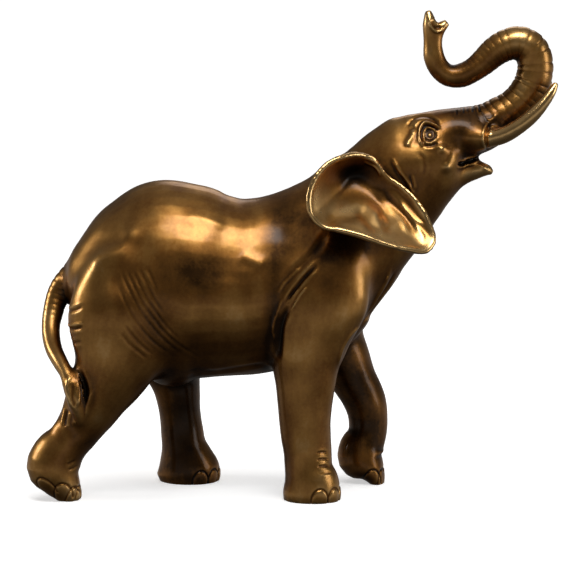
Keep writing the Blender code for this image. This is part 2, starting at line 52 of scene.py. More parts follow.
# Triangles of the finished mesh, and how close to the ground its points count as on it
TRIANGLES = 190000
SOLE_SLACK = 0.1

UNIT = HEIGHT / TIP_HEIGHT

# Torso, neck, head and trunk: x, z, half height, half width, share by which the underside is wider
BODY = (
    (-460, 400, 24, 24, 0.0),
    (-452, 403, 57, 56, 0.0),
    (-436, 408, 91, 90, 0.05),
    (-412, 414, 118, 113, 0.05),
    (-380, 421, 153, 135, 0.08),
    (-340, 428, 184, 150, 0.10),
    (-294, 434, 209, 159, 0.12),
    (-248, 437, 216, 162, 0.14),
    (-198, 437, 207, 160, 0.14),
    (-148, 432, 193, 152, 0.14),
    (-92, 430, 185, 144, 0.12),
    (-36, 438, 183, 137, 0.10),
    (18, 454, 181, 131, 0.06),
    (58, 490, 165, 122, 0.03),
    (99, 526, 152, 112, 0.0),
    (139, 563, 139, 100, 0.0),
    (179, 601, 128, 90, 0.0),
    (211, 637, 119, 84, 0.0),
    (250, 678, 111, 80, 0.05),
    (285, 707, 100, 76, 0.10),
    (303, 723, 86, 71, 0.10),
    (321, 737, 68, 64, 0.08),
    (348, 750, 55, 55, 0.0),
    (381, 756, 52, 49, 0.0),
    (414, 769, 47, 44, 0.0),
    (439, 787, 41, 41, 0.0),
    (463, 803, 38, 39, 0.0),
    (487, 829, 37, 38, 0.0),
    (504, 862, 37, 36, 0.0),
    (508, 893, 37, 35, 0.0),
    (499, 923, 36, 34, 0.0),
    (476, 937, 35, 33, 0.0),
    (448, 933, 33, 31, 0.0),
    (423, 919, 31, 29, 0.0),
    (401, 899, 28, 27, 0.0),
    (379, 882, 25, 26, 0.0),
    (353, 870, 25, 24, 0.0),
    (329, 870, 23, 23, 0.0),
    (311, 883, 22, 22, 0.0),
    (300, 903, 22, 21, 0.0),
    (296, 926, 22, 20, 0.0),
    (296, 947, 21, 20, 0.0),
)

# Legs from the sole up: x, z, half length fore and aft, half width, distance out from the middle
NEAR_HIND = (
    (-452, -4, 19, 28, 102),
    (-461, 17, 30, 40, 102),
    (-476, 42, 44, 48, 102),
    (-488, 66, 57, 52, 102),
    (-481, 90, 55, 50, 101),
    (-457, 119, 47, 46, 100),
    (-435, 151, 49, 47, 100),
    (-415, 184, 58, 51, 100),
    (-396, 218, 65, 58, 100),
    (-372, 257, 77, 65, 100),
    (-351, 311, 104, 71, 99),
    (-336, 378, 121, 74, 97),
    (-326, 446, 111, 68, 95),
    (-321, 518, 78, 50, 88),
)
FAR_HIND = (
    (-217, -8, 60, 56, 96),
    (-217, 20, 69, 60, 96),
    (-223, 52, 58, 56, 96),
    (-228, 78, 48, 51, 96),
    (-231, 104, 46, 49, 96),
    (-237, 156, 45, 50, 96),
    (-244, 212, 53, 57, 96),
    (-256, 256, 68, 64, 97),
    (-279, 314, 90, 70, 98),
    (-300, 389, 104, 73, 97),
    (-321, 471, 94, 62, 92),
)
NEAR_FORE = (
    (43, -12, 55, 53, 104),
    (45, 15, 60, 58, 104),
    (43, 40, 57, 55, 104),
    (38, 65, 50, 50, 102),
    (37, 90, 49, 48, 100),
    (32, 140, 52, 48, 100),
    (31, 191, 55, 51, 99),
    (32, 245, 63, 56, 98),
    (33, 287, 71, 60, 96),
    (41, 326, 79, 63, 93),
    (50, 369, 92, 66, 90),
    (59, 410, 101, 66, 87),
    (68, 455, 102, 60, 84),
    (80, 507, 84, 50, 78),
    (84, 560, 55, 34, 70),
)
FAR_FORE = (
    (186, -12, 12, 30, 76),
    (185, 3, 16, 40, 76),
    (175, 25, 31, 47, 78),
    (155, 50, 51, 50, 80),
    (155, 74, 48, 47, 83),
    (165, 100, 42, 43, 86),
    (167, 130, 42, 43, 90),
    (164, 158, 44, 47, 93),
    (154, 186, 46, 50, 96),
    (137, 217, 50, 53, 96),
    (118, 256, 56, 58, 96),
    (100, 299, 61, 62, 95),
    (89, 357, 69, 64, 92),
    (82, 421, 74, 60, 88),
    (76, 486, 64, 48, 80),
)

# Tail, from the rump down to the tuft: x, y, z, half width fore and aft, half width across
TAIL = (
    (-425, 0, 478, 26, 28),
    (-448, 0, 464, 26, 28),
    (-468, -2, 443, 25, 26),
    (-482, -6, 417, 25, 23),
    (-491, -17, 389, 23, 21),
    (-497, -34, 358, 20, 20),
    (-495, -56, 332, 19, 18),
    (-486, -84, 308, 18, 17),
    (-471, -110, 287, 17, 17),
    (-456, -132, 266, 16, 16),
    (-446, -147, 243, 19, 16),
    (-439, -155, 215, 17, 15),
    (-433, -156, 187, 11, 10),
    (-428, -152, 160, 4, 5),
)

# Withers, and the inside of the open mouth, in the tail's columns
WITHERS = (
    (-95, 0, 574, 14, 20),
    (-70, 0, 583, 26, 32),
    (-23, 0, 597, 31, 42),
    (27, 0, 618, 28, 48),
    (77, 0, 660, 26, 48),
    (112, 0, 692, 22, 46),
)
MOUTH = (
    (320, 0, 690, 20, 26),
    (350, 0, 700, 24, 28),
    (372, 0, 704, 22, 24),
    (386, 0, 705, 14, 16),
)

# Near tusk, its lip fold, the lower jaw and the two fingers of the trunk, in the tail's columns
TUSK = (
    (372, -30, 744, 18, 17),
    (409, -48, 743, 19, 19),
    (439, -58, 751, 18, 18),
    (471, -65, 770, 16, 17),
    (500, -67, 795, 15, 15),
    (524, -64, 823, 12, 12),
    (539, -60, 845, 9, 9),
    (546, -58, 858, 5, 5),
)
LIP_FOLD = (
    (350, -22, 744, 26, 22),
    (372, -33, 744, 30, 26),
    (390, -41, 744, 31, 27),
    (403, -46, 745, 26, 24),
)
JAW = (
    (300, 0, 650, 44, 48),
    (330, 0, 660, 36, 41),
    (355, 0, 668, 28, 34),
    (378, 0, 675, 22, 28),
    (396, 0, 677, 18, 23),
    (408, 0, 675, 13, 17),
    (416, 0, 672, 8, 11),
    (421, 0, 669, 4, 6),
)
LONG_FINGER = (
    (293, 0, 940, 20, 20),
    (290, 0, 967, 17, 18),
    (287, 0, 990, 11, 13),
    (285, 0, 1004, 6, 7),
)
SHORT_FINGER = (
    (295, 0, 940, 20, 20),
    (306, 0, 961, 16, 16),
    (317, 0, 973, 11, 12),
    (325, 0, 980, 7, 7),
)

# The fan of fine folds before the thigh: places x, z along each, and the width and depth of all
FAN = (
    ((-345, 494), (-337, 468), (-324, 441), (-310, 415), (-292, 386), (-272, 359), (-246, 331), (-212, 304)),
    ((-333, 490), (-322, 465), (-310, 439), (-293, 411), (-275, 384), (-256, 359), (-228, 333), (-170, 291)),
    ((-320, 486), (-308, 460), (-294, 435), (-279, 411), (-263, 386), (-243, 361), (-219, 338)),
    ((-306, 485), (-294, 463), (-281, 439), (-269, 417), (-253, 394)),
    ((-347, 456), (-338, 429), (-324, 403), (-308, 376), (-288, 349), (-266, 327), (-238, 307)),
    ((-338, 379), (-320, 352), (-300, 329), (-277, 308)),
    ((-344, 359), (-326, 334), (-304, 314), (-287, 298)),
    ((-290, 487), (-279, 465), (-267, 441)),
)
FAN_WIDTH = 3.0
FAN_DEPTH = 0.55

# Other folds in the skin of both flanks: places x, z along each, width and depth; a negative depth is a
# ridge
FOLDS = (
    (((-462, 390), (-452, 393), (-437, 397), (-421, 406)), 3.2, 1.5),
    (((-462, 399), (-448, 403), (-433, 410), (-416, 414)), 4.0, -1.2),
    (((-462, 355), (-450, 358), (-435, 360), (-419, 366)), 3.2, 1.5),
    (((-460, 364), (-448, 366), (-431, 371), (-414, 374)), 4.0, -1.2),
    (((-455, 330), (-440, 330), (-424, 336)), 3.5, 0.8),
    (((-187, 268), (-158, 264), (-125, 268), (-84, 275), (-47, 281)), 5, 2.5),
    (((75, 555), (60, 528), (39, 505), (19, 485), (-2, 462), (-22, 435)), 7, 2.5),
    (((24, 488), (-2, 463), (-14, 450), (-24, 433)), 3, -2.2),
    (((54, 491), (26, 461), (3, 430), (-8, 412)), 4, 4.0),
    (((18, 443), (8, 430), (-8, 413)), 2.4, -2.4),
    (((35, 447), (21, 429), (3, 398)), 2.4, -2.6),
    (((-30, 392), (-35, 362), (-30, 335)), 3, -2.0),
    (((-14, 425), (-27, 389), (-37, 348)), 3, -2.0),
    (((-2, 409), (-17, 368), (-22, 331), (-25, 293)), 6, 4.5),
    (((210, 477), (195, 440), (177, 408), (159, 376)), 3, -2.5),
    (((218, 469), (208, 444), (191, 417), (170, 385), (144, 351)), 3, 3.0),
    (((150, 362), (137, 356), (116, 332), (105, 308), (98, 280)), 3, -2.2),
    (((-214, 588), (-191, 588), (-170, 582), (-150, 573), (-127, 564)), 9, -1.6),
    (((-100, 514), (-78, 500), (-51, 488)), 11, -2.0),
    (((210, 705), (224, 680), (239, 659), (258, 625)), 3.4, -1.8),
    (((203, 702), (217, 677), (232, 655), (248, 625)), 4, 1.0),
    (((250, 673), (255, 655), (257, 640)), 3, -1.2),
    (((244, 672), (249, 654), (251, 638)), 3, 0.7),
    (((262, 716), (272, 704), (276, 688), (272, 668)), 4, 1.0),
    (((330, 716), (322, 706), (318, 694)), 4, 0.8),
    (((343, 692), (356, 690), (364, 693), (376, 696), (392, 702)), 3.4, 7.0),
    (((360, 686), (374, 687), (388, 686), (401, 681), (411, 675)), 2.8, -2.0),
    (((359, 806), (358, 793)), 1.8, 1.2),
    (((377, 812), (377, 795)), 2, 1.6),
    (((391, 812), (391, 795)), 2, 1.6),
    (((345, 800), (344, 790)), 1.8, 1.0),
    (((54, 103), (66, 104), (78, 101)), 2.2, 1.0),
    (((54, 89), (66, 90), (80, 87)), 2.2, 1.5),
    (((56, 75), (68, 76), (82, 73)), 2.2, 1.5),
    (((60, 62), (74, 62), (88, 61)), 2.2, 1.0),
    (((-458, 80), (-449, 83), (-441, 88)), 2.4, 0.8),
    (((-455, 68), (-446, 70), (-437, 75)), 2.4, 0.8),
    (((178, 96), (190, 98), (200, 96)), 2.4, 1.4),
    (((-433, 276), (-424, 259), (-418, 239), (-419, 218), (-426, 197), (-434, 180)), 6.0, 6.0),
    (((-401, 243), (-412, 215), (-428, 185), (-447, 160)), 5, -2.6),
    (((-449, 190), (-452, 171), (-455, 154)), 3, -3.0),
    (((-458, 194), (-461, 175), (-463, 157)), 3, 3.5),
)

# Locks of the tail's tuft, in the same columns
LOCKS = (
    (((-446, 268), (-452, 256), (-455, 243), (-452, 230), (-447, 214), (-441, 199)), 3.8, -2.2),
    (((-440, 265), (-432, 250), (-430, 238), (-430, 220), (-434, 202)), 3.8, -2.2),
    (((-443, 252), (-443, 238), (-443, 222), (-438, 202)), 4.5, 3.0),
)

# The socket of the tusk and its wrinkled rim, in the same columns
SOCKET = (
    (((414, 775), (406, 762), (402, 746), (404, 730), (408, 716)), 3.0, 4.0),
    (((421, 781), (409, 774), (398, 761), (394, 746), (396, 730)), 3.4, -1.4),
    (((425, 792), (418, 784), (410, 780), (404, 783)), 2.4, -1.8),
)

# The opening at the tip of the trunk: its bright rim and the hollow behind it
NOSTRILS = (
    (((287, 992), (291, 972), (301, 960), (311, 963), (319, 970)), 2.6, -2.2),
    (((292, 984), (298, 972), (306, 969), (313, 972)), 3.2, 3.5),
)

# Only the trunk's tip reaches above this height
NOSTRIL_HEIGHT = 900

# Folds of the inner face of an ear: places x, z along each, width and depth; a negative depth is a ridge
EAR_FOLDS = (
    (((200, 656), (218, 642), (234, 626), (246, 610), (257, 596), (268, 583), (277, 569)), 8, 2.4),
    (((221, 620), (241, 598), (258, 581), (277, 571)), 4, -1.2),
    (((224, 616), (235, 602), (246, 586), (262, 562), (275, 539)), 5.5, -1.7),
    (((188, 631), (218, 601), (234, 587), (246, 573), (256, 556)), 8, 2.4),
    (((166, 643), (191, 625), (212, 604), (228, 583), (239, 554)), 9, -2.0),
    (((175, 625), (188, 601), (196, 574), (202, 559)), 8, 1.4),
    (((188, 592), (193, 580), (199, 570)), 5, -1.4),
    (((130, 607), (144, 599), (164, 575), (186, 564)), 8, 1.8),
    (((70, 592), (88, 588), (110, 590), (138, 594), (160, 600)), 11, 1.8),
    (((149, 701), (161, 695), (174, 688), (182, 678), (186, 668)), 2.6, -2.2),
    (((151, 707), (165, 703), (178, 694), (188, 682), (191, 670)), 2.6, -2.2),
    (((153, 713), (167, 709), (183, 700), (193, 686), (197, 672)), 2.6, -2.2),
)
EAR_LOBES = (
    (216, 573, 11, 2.0),
    (176, 597, 10, 2.2),
    (134, 672, 16, -3.0),
)

# Soft swellings (and hollows, with a negative height) of both flanks: x, z, radius, height
SWELLINGS = (
    (-144, 400, 95, 7),
    (-351, 466, 34, -7),
    (-395, 380, 60, 4),
    (70, 415, 55, 4),
    (100, 500, 40, 4),
    (246, 760, 22, -5),
    (330, 705, 26, 5),
    (262, 690, 34, 4),
    (372, 762, 26, 4),
    (320, 685, 9, 4),
    (308, 722, 9, 3),
    (-487, 156, 14, 3),
    (366, 744, 12, 3),
    (312, 723, 10, 4),
    (334, 735, 16, -3),
)

# Crest of the hip bone on both flanks: places x, z along it, width and height
HIP_CREST = ((-405, 480), (-388, 500), (-366, 512), (-346, 524), (-331, 542), (-320, 566))
HIP_CREST_WIDTH = 15
HIP_CREST_HEIGHT = 4.5

# Eyes: place x, z on both sides of the head, how far their carving reaches, the ball, its socket and
# its iris, and the folds of the lids
EYE = (287, 751)
EYE_REACH = 70
EYE_RADIUS = 10.5
EYE_HEIGHT = 6.0
EYE_SOCKET_RADIUS = 12.5
EYE_SOCKET_DEPTH = 5.5
IRIS_RADIUS = 5.2
IRIS_WIDTH = 1.5
IRIS_DEPTH = 1.6
LIDS = (
    (((272, 726), (267, 738), (265, 751), (267, 764), (272, 772), (279, 775), (289, 773), (299, 769),
      (312, 764)), 2.5, -4.0),
    (((272, 736), (270, 751), (272, 762), (278, 769), (287, 769), (296, 766), (306, 760)), 2.2, 3.4),
    (((276, 738), (275, 751), (277, 759), (283, 765), (290, 764), (296, 760), (300, 754)), 2.0, -2.8),
    (((275, 738), (281, 735), (288, 735), (296, 739), (301, 746)), 2.4, -3.0),
    (((274, 731), (284, 728), (294, 730), (303, 736)), 3.0, 1.8),
    (((240, 727), (243, 737), (249, 747), (253, 757), (252, 765)), 5.6, -3.6),
    (((253, 767), (262, 776), (275, 780), (288, 779)), 3.2, -1.6),
    (((240, 768), (250, 780), (268, 787), (288, 786), (301, 779), (308, 770)), 2.8, 1.8),
)

# Rings round the trunk: distance from one to the next near the head and near the tip, their depth, the
# x where they start, from where and over what length along the trunk they grow finer, and the x and z
# beyond which the skin can carry them
RING_PITCH = 17.0
LAST_RING_PITCH = 9.0
RING_DEPTH = 1.4
TRUNK_START = 345.0
FINER_FROM = 250
FINER_OVER = 180
RINGS_BEYOND_X = 270
RINGS_ABOVE_Z = 690

# Toenails: foot centre x, y, half length, half width, and the heading in degrees and the height above
# the ground of each nail; then the size of a nail, how far off its foot's rim it is looked for, how much
# its lower half is drawn out, the groove round it and the height all stay below
TOENAILS = (
    ((45, -104), (60, 58), ((-73, 6), (-38, 5), (-4, 5), (30, 5), (64, 5))),
    ((-217, 96), (69, 60), ((-66, 5), (-34, 5), (-4, 5), (30, 5), (62, 5))),
    ((166, 77), (42, 48), ((-75, 10), (-36, 8), (0, 8), (36, 8))),
    ((-462, -102), (45, 46), ((-136, 28), (-97, 16), (-56, 6), (-18, 6), (22, 6))),
)
NAIL_WIDTH = 17.0
NAIL_HEIGHT = 23.0
NAIL_RISE = 1.5
NAIL_REACH = 26
NAIL_FOOT = 0.3
NAIL_GROOVE = 1.9
NAIL_GROOVE_PLACE = 1.06
NAIL_GROOVE_WIDTH = 0.10
HIGHEST_NAIL = 115

# Wrinkles round the root of the tail: how far down they reach, their pitch and depth
WRINKLE_REACH = 190
WRINKLE_PITCH = 13
WRINKLE_DEPTH = 1.2

# Rim of the near ear, from its root round the back to the tip and up its front edge: x, y, z
EAR_RIM = (
    (170, -100, 702),
    (141, -120, 714),
    (109, -142, 712),
    (74, -159, 697),
    (50, -172, 670),
    (38, -181, 635),
    (41, -186, 600),
    (62, -186, 576),
    (98, -185, 567),
    (142, -185, 555),
    (189, -184, 539),
    (237, -179, 527),
    (276, -166, 523),
    (291, -152, 540),
    (281, -137, 579),
    (258, -120, 618),
    (224, -107, 650),
    (191, -98, 675),
)
EAR_HOLLOW = (134, -80, 666)

# The far ear is smaller by these shares, and shifted out of line
FAR_EAR_SHARES = (0.92, 0.70, 0.90)
FAR_EAR_SHIFT = (6.0, 6.0, -22.0)

# Bowl of an ear: its rings, and the heading, spread, height and closeness of its radial waves
EAR_RINGS = 12
EAR_WAVE_HEADING = -0.75
EAR_WAVE_SPREAD = 0.55
EAR_WAVE_HEIGHT = 2.5
EAR_WAVE_CLOSENESS = 15.0

# Distance between the rings of the large forms, the tail, the small forms and the fingers, and between
# the places along a fold; corners of a ring of the body and of a leg
LARGE_STEP = 9.0
TAIL_STEP = 6.0
SMALL_STEP = 5.0
FINE_STEP = 4.0
LINE_STEP = 5.0
BODY_SIDES = 48
LEG_SIDES = 32

# Width of the soft fillet where each form runs into the others
BODY_FILLET = 30.0
HIND_LEG_FILLET = 34.0
FORE_LEG_FILLET = 30.0
WITHERS_FILLET = 30.0
JAW_FILLET = 14.0
MOUTH_FILLET = 8.0
LIP_FILLET = 12.0
TUSK_FILLET = 2.0
FINGER_FILLET = 6.0
TAIL_FILLET = 6.0
EAR_FILLET = 8.0

# Unevenness of the hand-modelled surface: width and height of its broad and its fine waves, how far the
# fine ones are shifted, and the share of both on thin forms
BROAD_WAVE = 75
BROAD_WAVE_HEIGHT = 3.0
FINE_WAVE = 24
FINE_WAVE_HEIGHT = 0.35
FINE_WAVE_SHIFT = (7, 3, 1)
THIN_WAVE_SHARE = 0.2

# Rays that feel how open the surroundings of a vertex are: how many, how far they reach, every how many
# vertices they are sent, and the number and seed of the directions they draw on
RAY_COUNT = 14
RAY_REACH = 90
RAY_STRIDE = 7
RAY_DIRECTIONS = 64
RAY_SEED = 11

# Places in the list of forms: the body, the last leg, the last form of the head, the last tusk, the
# tail and the ears
BODY_INDEX = 0
LAST_LEG_INDEX = 4
LAST_HEAD_INDEX = 9
LAST_TUSK_INDEX = 11
TAIL_INDEX = 14
NEAR_EAR_INDEX = 15
FAR_EAR_INDEX = 16

# Rounds that even out the whole skin, soften the borders between its kinds and even out the facets of
# the ears, and the step that undoes shrinking
EVEN_ROUNDS = 6
BORDER_ROUNDS = 60
FACET_ROUNDS = 4
PUSH_BACK = -0.52

# How far round each form its neighbours are looked for, more than the widest fillet
FILLET_LIMIT = 40.0

# How far creases and the ears are evened out, in metres, and the share of it on thin forms
CREASE_SPREAD = 0.0155
EAR_SPREAD = 0.010
THIN_CREASE_SHARE = 0.35

# The trunk above this height is its curled tip, whatever its place along x
TRUNK_TIP_HEIGHT = 850

# The bends of the flank before the neck and of the lifted hind foot's instep: places x, z, and how wide
# they are evened out
BENDS = (
    (((-56, 618), (-37, 580), (-22, 545), (-8, 505), (6, 470)), 28),
    (((-450, 76), (-430, 84), (-420, 88)), 14),
)

# The kinds of surface that carving and patina tell apart, and the share of a kind too faint to carve
KINDS = 7
SKIN, TRUNK, LEGS, TAILS, NEAR_EAR, FAR_EAR, TUSKS = range(KINDS)
FAINT = 0.01
KIND_NAMES = ["member%d" % index for index in range(KINDS)]

# Darker and brighter areas on the flanks, head, trunk and legs, partly patina and partly painted shade and
# painted
# highlight: x, z, radius along x, radius along z, strength
PATINA_AND_PAINTED_LIGHT = (
    (2, 575, 55, 60, -0.26),
    (83, 480, 45, 60, -0.28),
    (130, 520, 70, 24, -0.16),
    (-165, 468, 62, 38, -0.24),
    (-205, 500, 50, 30, -0.10),
    (-119, 500, 30, 16, -0.10),
    (-240, 462, 60, 40, -0.10),
    (-330, 440, 30, 60, -0.20),
    (-280, 368, 30, 50, -0.16),
    (-225, 318, 60, 26, -0.18),
    (-110, 300, 90, 20, 0.14),
    (-36, 400, 20, 110, -0.24),
    (-20, 520, 30, 50, -0.14),
    (272, 660, 45, 35, -0.08),
    (345, 725, 30, 20, -0.06),
    (372, 720, 24, 26, -0.04),
    (352, 778, 54, 26, -0.36),
    (395, 790, 22, 18, -0.22),
    (345, 884, 70, 26, -0.34),
    (410, 905, 45, 20, -0.16),
    (474, 872, 20, 44, 0.26),
    (-130, 385, 70, 50, 0.10),
    (-412, 460, 35, 60, 0.12),
    (-390, 320, 34, 40, 0.16),
    (240, 780, 40, 30, 0.06),
    (365, 668, 36, 14, 0.30),
    (63, 373, 26, 46, 0.12),
    (21, 321, 30, 26, 0.10),
    (47, 401, 14, 14, -0.12),
    (112, 400, 16, 26, 0.08),
    (-5, 95, 14, 70, -0.22),
    (-425, 130, 45, 26, -0.20),
    (-415, 235, 20, 36, -0.18),
    (-398, 172, 22, 30, 0.24),
    (-471, 92, 28, 24, -0.24),
    (-206, 157, 40, 100, -0.28),
    (161, 218, 44, 70, -0.20),
)

# The same inside the ears: patina, with painted shade in the deep hollow near the top and painted light on
# the bowl
EAR_PATINA_AND_PAINTED_LIGHT = (
    (138, 676, 56, 22, -0.55),
    (176, 640, 50, 24, -0.28),
    (105, 591, 34, 8, -0.16),
    (246, 616, 14, 34, -0.26),
    (175, 625, 40, 14, -0.14),
    (62, 640, 24, 50, 0.24),
    (110, 600, 40, 20, 0.22),
    (200, 548, 90, 14, 0.10),
)

# Over how broad surroundings broad and fine relief are felt
BROAD_SPAN = 13.0
FINE_SPAN = 3.5

# Wear and painted shade: what fine relief and broad relief add as wear, what open surroundings add as
# painted shade with patina where they close in, and how much less the last is in the ears; the relief that
# counts in full, and the relief and openness that add nothing
FINE_WEAR = 0.30
BROAD_WEAR = 0.32
OPEN_SHADE_AND_PATINA = 0.8
EAR_CLOSENESS = 0.4
FINE_RELIEF = 1.2
BROAD_RELIEF = 9.0
PLAIN_RELIEF = 2.0
PLAIN_OPENNESS = 0.92

# Tint of the ears and the tusks; painted shade on undersides; painted shade with darker patina on the inner
# sides of the legs and in a ring round the pupils; how high up the inner sides have it, and the ring round a
# pupil
EAR_TINT = 0.30
TUSK_TINT = 0.42
UNDERSIDE_PAINTED_SHADE = -0.20
INNER_SHADE_AND_PATINA = -0.38
PUPIL_SHADE_AND_PATINA = -0.30
INNER_REACH = 350
PUPIL_RING = 7
PUPIL_RING_WIDTH = 3

# Patina: its level, and how much clouds, streaks and specks vary it
PATINA_LEVEL = 0.56
CLOUDS = 0.42
STREAKS = 0.36
SPECKS = 0.14

# Colours of the bronze from the darkest patina to bare metal: place in the ramp and linear colour
BRONZE_COLOURS = (
    (0.0, (0.012, 0.006, 0.002)),
    (0.25, (0.055, 0.023, 0.005)),
    (0.5, (0.275, 0.117, 0.023)),
    (0.7, (0.490, 0.245, 0.060)),
    (1.0, (0.830, 0.530, 0.215)),
)

# Features per metre of the clouds, streaks, specks and pores, and how far streaks are drawn out upward
CLOUD_SCALE = 38.0
STREAK_SCALE = 60.0
STREAK_STRETCH = 0.28
SPECK_SCALE = 420.0
PORE_SCALE = 900.0

# Roughness of the darkest patina, how much polish takes off it, and how much clouds vary it
DARK_ROUGHNESS = 0.48
POLISH = 0.22
SMEARS = 0.12

# Wax over the bronze, and the pores of its surface
WAX_WEIGHT = 0.35
WAX_ROUGHNESS = 0.18
PORE_STRENGTH = 0.14
PORE_DEPTH = 0.0004

# The photograph's camera: its distance, the point it looks at, its pitch and its lens
CAMERA_DISTANCE = 1.8708
CAMERA_TARGET = (-0.00224, 0.0, 0.15355)
CAMERA_PITCH = math.radians(7)
LENS = 156.25

# Glow of the paper floor, and half its width; power of the ceiling, and its spread
FLOOR_GLOW = 0.52
FLOOR_HALF_WIDTH = 120.0
CEILING_POWER = 1.4
CEILING_SPREAD = math.radians(50)

# Softboxes: place, width, height and power of each, and the point they are aimed at
SOFTBOXES = (
    ((0.20, -0.75, 1.40), 0.9, 0.5, 8.5),
    ((-1.35, 0.10, 0.60), 0.4, 0.4, 3.0),
    ((1.35, -0.35, 0.45), 0.5, 0.8, 2.6),
    ((0.3, 1.3, 1.2), 1.1, 0.7, 2.5),
)
SOFTBOX_AIM = (0.0, 0.0, 0.17)

# Colours of the room from straight below to straight above: place in the ramp and linear colour
ROOM_COLOURS = (
    (0.0, (0.03, 0.028, 0.026)),
    (0.30, (0.10, 0.096, 0.09)),
    (0.43, (0.36, 0.35, 0.34)),
    (0.50, (0.26, 0.25, 0.24)),
    (0.58, (0.07, 0.067, 0.06)),
    (0.75, (0.10, 0.096, 0.09)),
    (1.0, (0.22, 0.21, 0.20)),
)


def normalised(vectors):
    """The same directions with a length of one."""
    return vectors / np.maximum(np.linalg.norm(vectors, axis=1, keepdims=True), 1e-12)


def smooth_rows(rows, spacing, closed=False):
    """Even samples of a smooth curve through rows of numbers whose first three are a place."""
    overlap = 3 if closed else 0
    wrapped = tuple(rows[len(rows) - overlap:]) + tuple(rows) + tuple(rows[:overlap + closed])
    rows = np.array(wrapped, float)
    steps = np.linalg.norm(np.diff(rows[:, :3], axis=0), axis=1)
    along = np.concatenate([[0.0], np.cumsum(steps)])
    slopes = np.gradient(rows, along, axis=0)
    start = along[overlap]
    end = along[len(along) - 1 - overlap]
    at = np.linspace(start, end, int((end - start) / spacing) + 2, endpoint=not closed)
    low = np.clip(np.searchsorted(along, at, side="right") - 1, 0, len(along) - 2)
    gap = (along[low + 1] - along[low])[:, None]
    t = (at - along[low])[:, None] / gap
    leave = slopes[low] * gap
    arrive = slopes[low + 1] * gap
    return ((2 * t ** 3 - 3 * t ** 2 + 1) * rows[low] + (t ** 3 - 2 * t ** 2 + t) * leave
            + (3 * t ** 2 - 2 * t ** 3) * rows[low + 1] + (t ** 3 - t ** 2) * arrive)


def loft(curve, sides, closed=False):
    """Body of elliptic rings threaded on a curve: place, half height, half width, low swell."""
    centres = curve[:, :3]
    tangents = normalised(np.gradient(centres, axis=0))
    across = normalised(np.array([0.0, 1.0, 0.0]) - tangents * tangents[:, 1:2])
    rise = np.cross(tangents, across)
    bm = bmesh.new()
    loops = []
    for index, centre in enumerate(centres):
        height, width, swell = curve[index, 3:6]
        ring = []
        for step in range(sides):
            turn = 2 * math.pi * step / sides
            up = height * math.cos(turn)
            out = width * math.sin(turn) * (1 - swell * math.cos(turn))
            place = centre + rise[index] * up + across[index] * out
            ring.append(bm.verts.new(place * UNIT))
        loops.append([bm.edges.new((ring[k - 1], ring[k])) for k in range(sides)])
        if not closed and index in (0, len(centres) - 1):
            bm.faces.new(ring)
    for lower, upper in zip(loops, loops[1:]):
        bmesh.ops.bridge_loops(bm, edges=lower + upper)
    if closed:
        bmesh.ops.bridge_loops(bm, edges=loops[-1] + loops[0])
    bmesh.ops.recalc_face_normals(bm, faces=bm.faces)
    return bm


def body_rows():
    """The body's rows with their place in the middle plane."""
    return [(x, 0.0, z, height, width, swell) for x, z, height, width, swell in BODY]


def leg_rows(rows, side):
    """A leg's rows on one side: -1 is the near side, +1 the far one."""
    return [(x, side * out, z, length, width, 0.0) for x, z, length, width, out in rows]


def mirrored_rows(rows, side):
    """Rows of a small part of the head or tail, turned to one side."""
    return [(x, -side * y, z, height, width, 0.0) for x, y, z, height, width in rows]


def ear_curve(side):
    """Rim of one ear; the far one hangs a little lower and closer to the neck."""
    rim = smooth_rows(EAR_RIM, LARGE_STEP, closed=True)
    hollow = np.array(EAR_HOLLOW, float)
    if side < 0:
        return rim, hollow
    shifted = hollow + np.array(FAR_EAR_SHIFT)
    smaller = (rim - hollow) * np.array(FAR_EAR_SHARES) + shifted
    flip = np.array([1.0, -1.0, 1.0])
    return smaller * flip, shifted * flip


def ear(side):
    """Cupped ear: a bowl that opens outward from its hollow to a rolled rim."""
    rim, hollow = ear_curve(side)
    bm = bmesh.new()
    loops = []
    for ring in range(1, EAR_RINGS + 1):
        share = ring / EAR_RINGS
        depth = share ** 1.8 * 0.55 + 0.45 * (3 * share ** 2 - 2 * share ** 3)
        places = hollow + (rim - hollow) * np.array([share, depth, share])
        angles = np.arctan2(places[:, 2] - hollow[2], places[:, 0] - hollow[0])
        fan = np.exp(-((angles - EAR_WAVE_HEADING) / EAR_WAVE_SPREAD) ** 2) * np.sin(math.pi * share)
        places[:, 1] += side * EAR_WAVE_HEIGHT * fan * np.sin(angles * EAR_WAVE_CLOSENESS)
        verts = [bm.verts.new(place * UNIT) for place in places]
        loops.append([bm.edges.new((verts[k - 1], verts[k])) for k in range(len(verts))])
        if ring == 1:
            bm.faces.new(verts)
    for inner, outer in zip(loops, loops[1:]):
        bmesh.ops.bridge_loops(bm, edges=inner + outer)
    bmesh.ops.recalc_face_normals(bm, faces=bm.faces)
    sheet = thickened(bm, EAR_THICKNESS)
    girth = np.full((len(rim), 2), EAR_RIM_RADIUS / UNIT)
    edge = loft(np.hstack([rim, girth, np.zeros((len(rim), 1))]), sides=10, closed=True)
    return joined([sheet, edge])


def joined(forms):
    """One bmesh of several."""
    total = bmesh.new()
    for form in forms:
        mesh = bpy.data.meshes.new("part")
        form.to_mesh(mesh)
        form.free()
        total.from_mesh(mesh)
        bpy.data.meshes.remove(mesh)
    return total


def added(name, data):
    """A new object in the scene."""
    thing = bpy.data.objects.new(name, data)
    bpy.context.collection.objects.link(thing)
    return thing


def evaluated(mesh, set_up):
    """Mesh of a scratch object after the modifiers that set_up adds to it."""
    scratch = added("scratch", mesh)
    set_up(scratch)
    depsgraph = bpy.context.evaluated_depsgraph_get()
    result = bpy.data.meshes.new_from_object(scratch.evaluated_get(depsgraph))
    bpy.data.objects.remove(scratch)
    return result


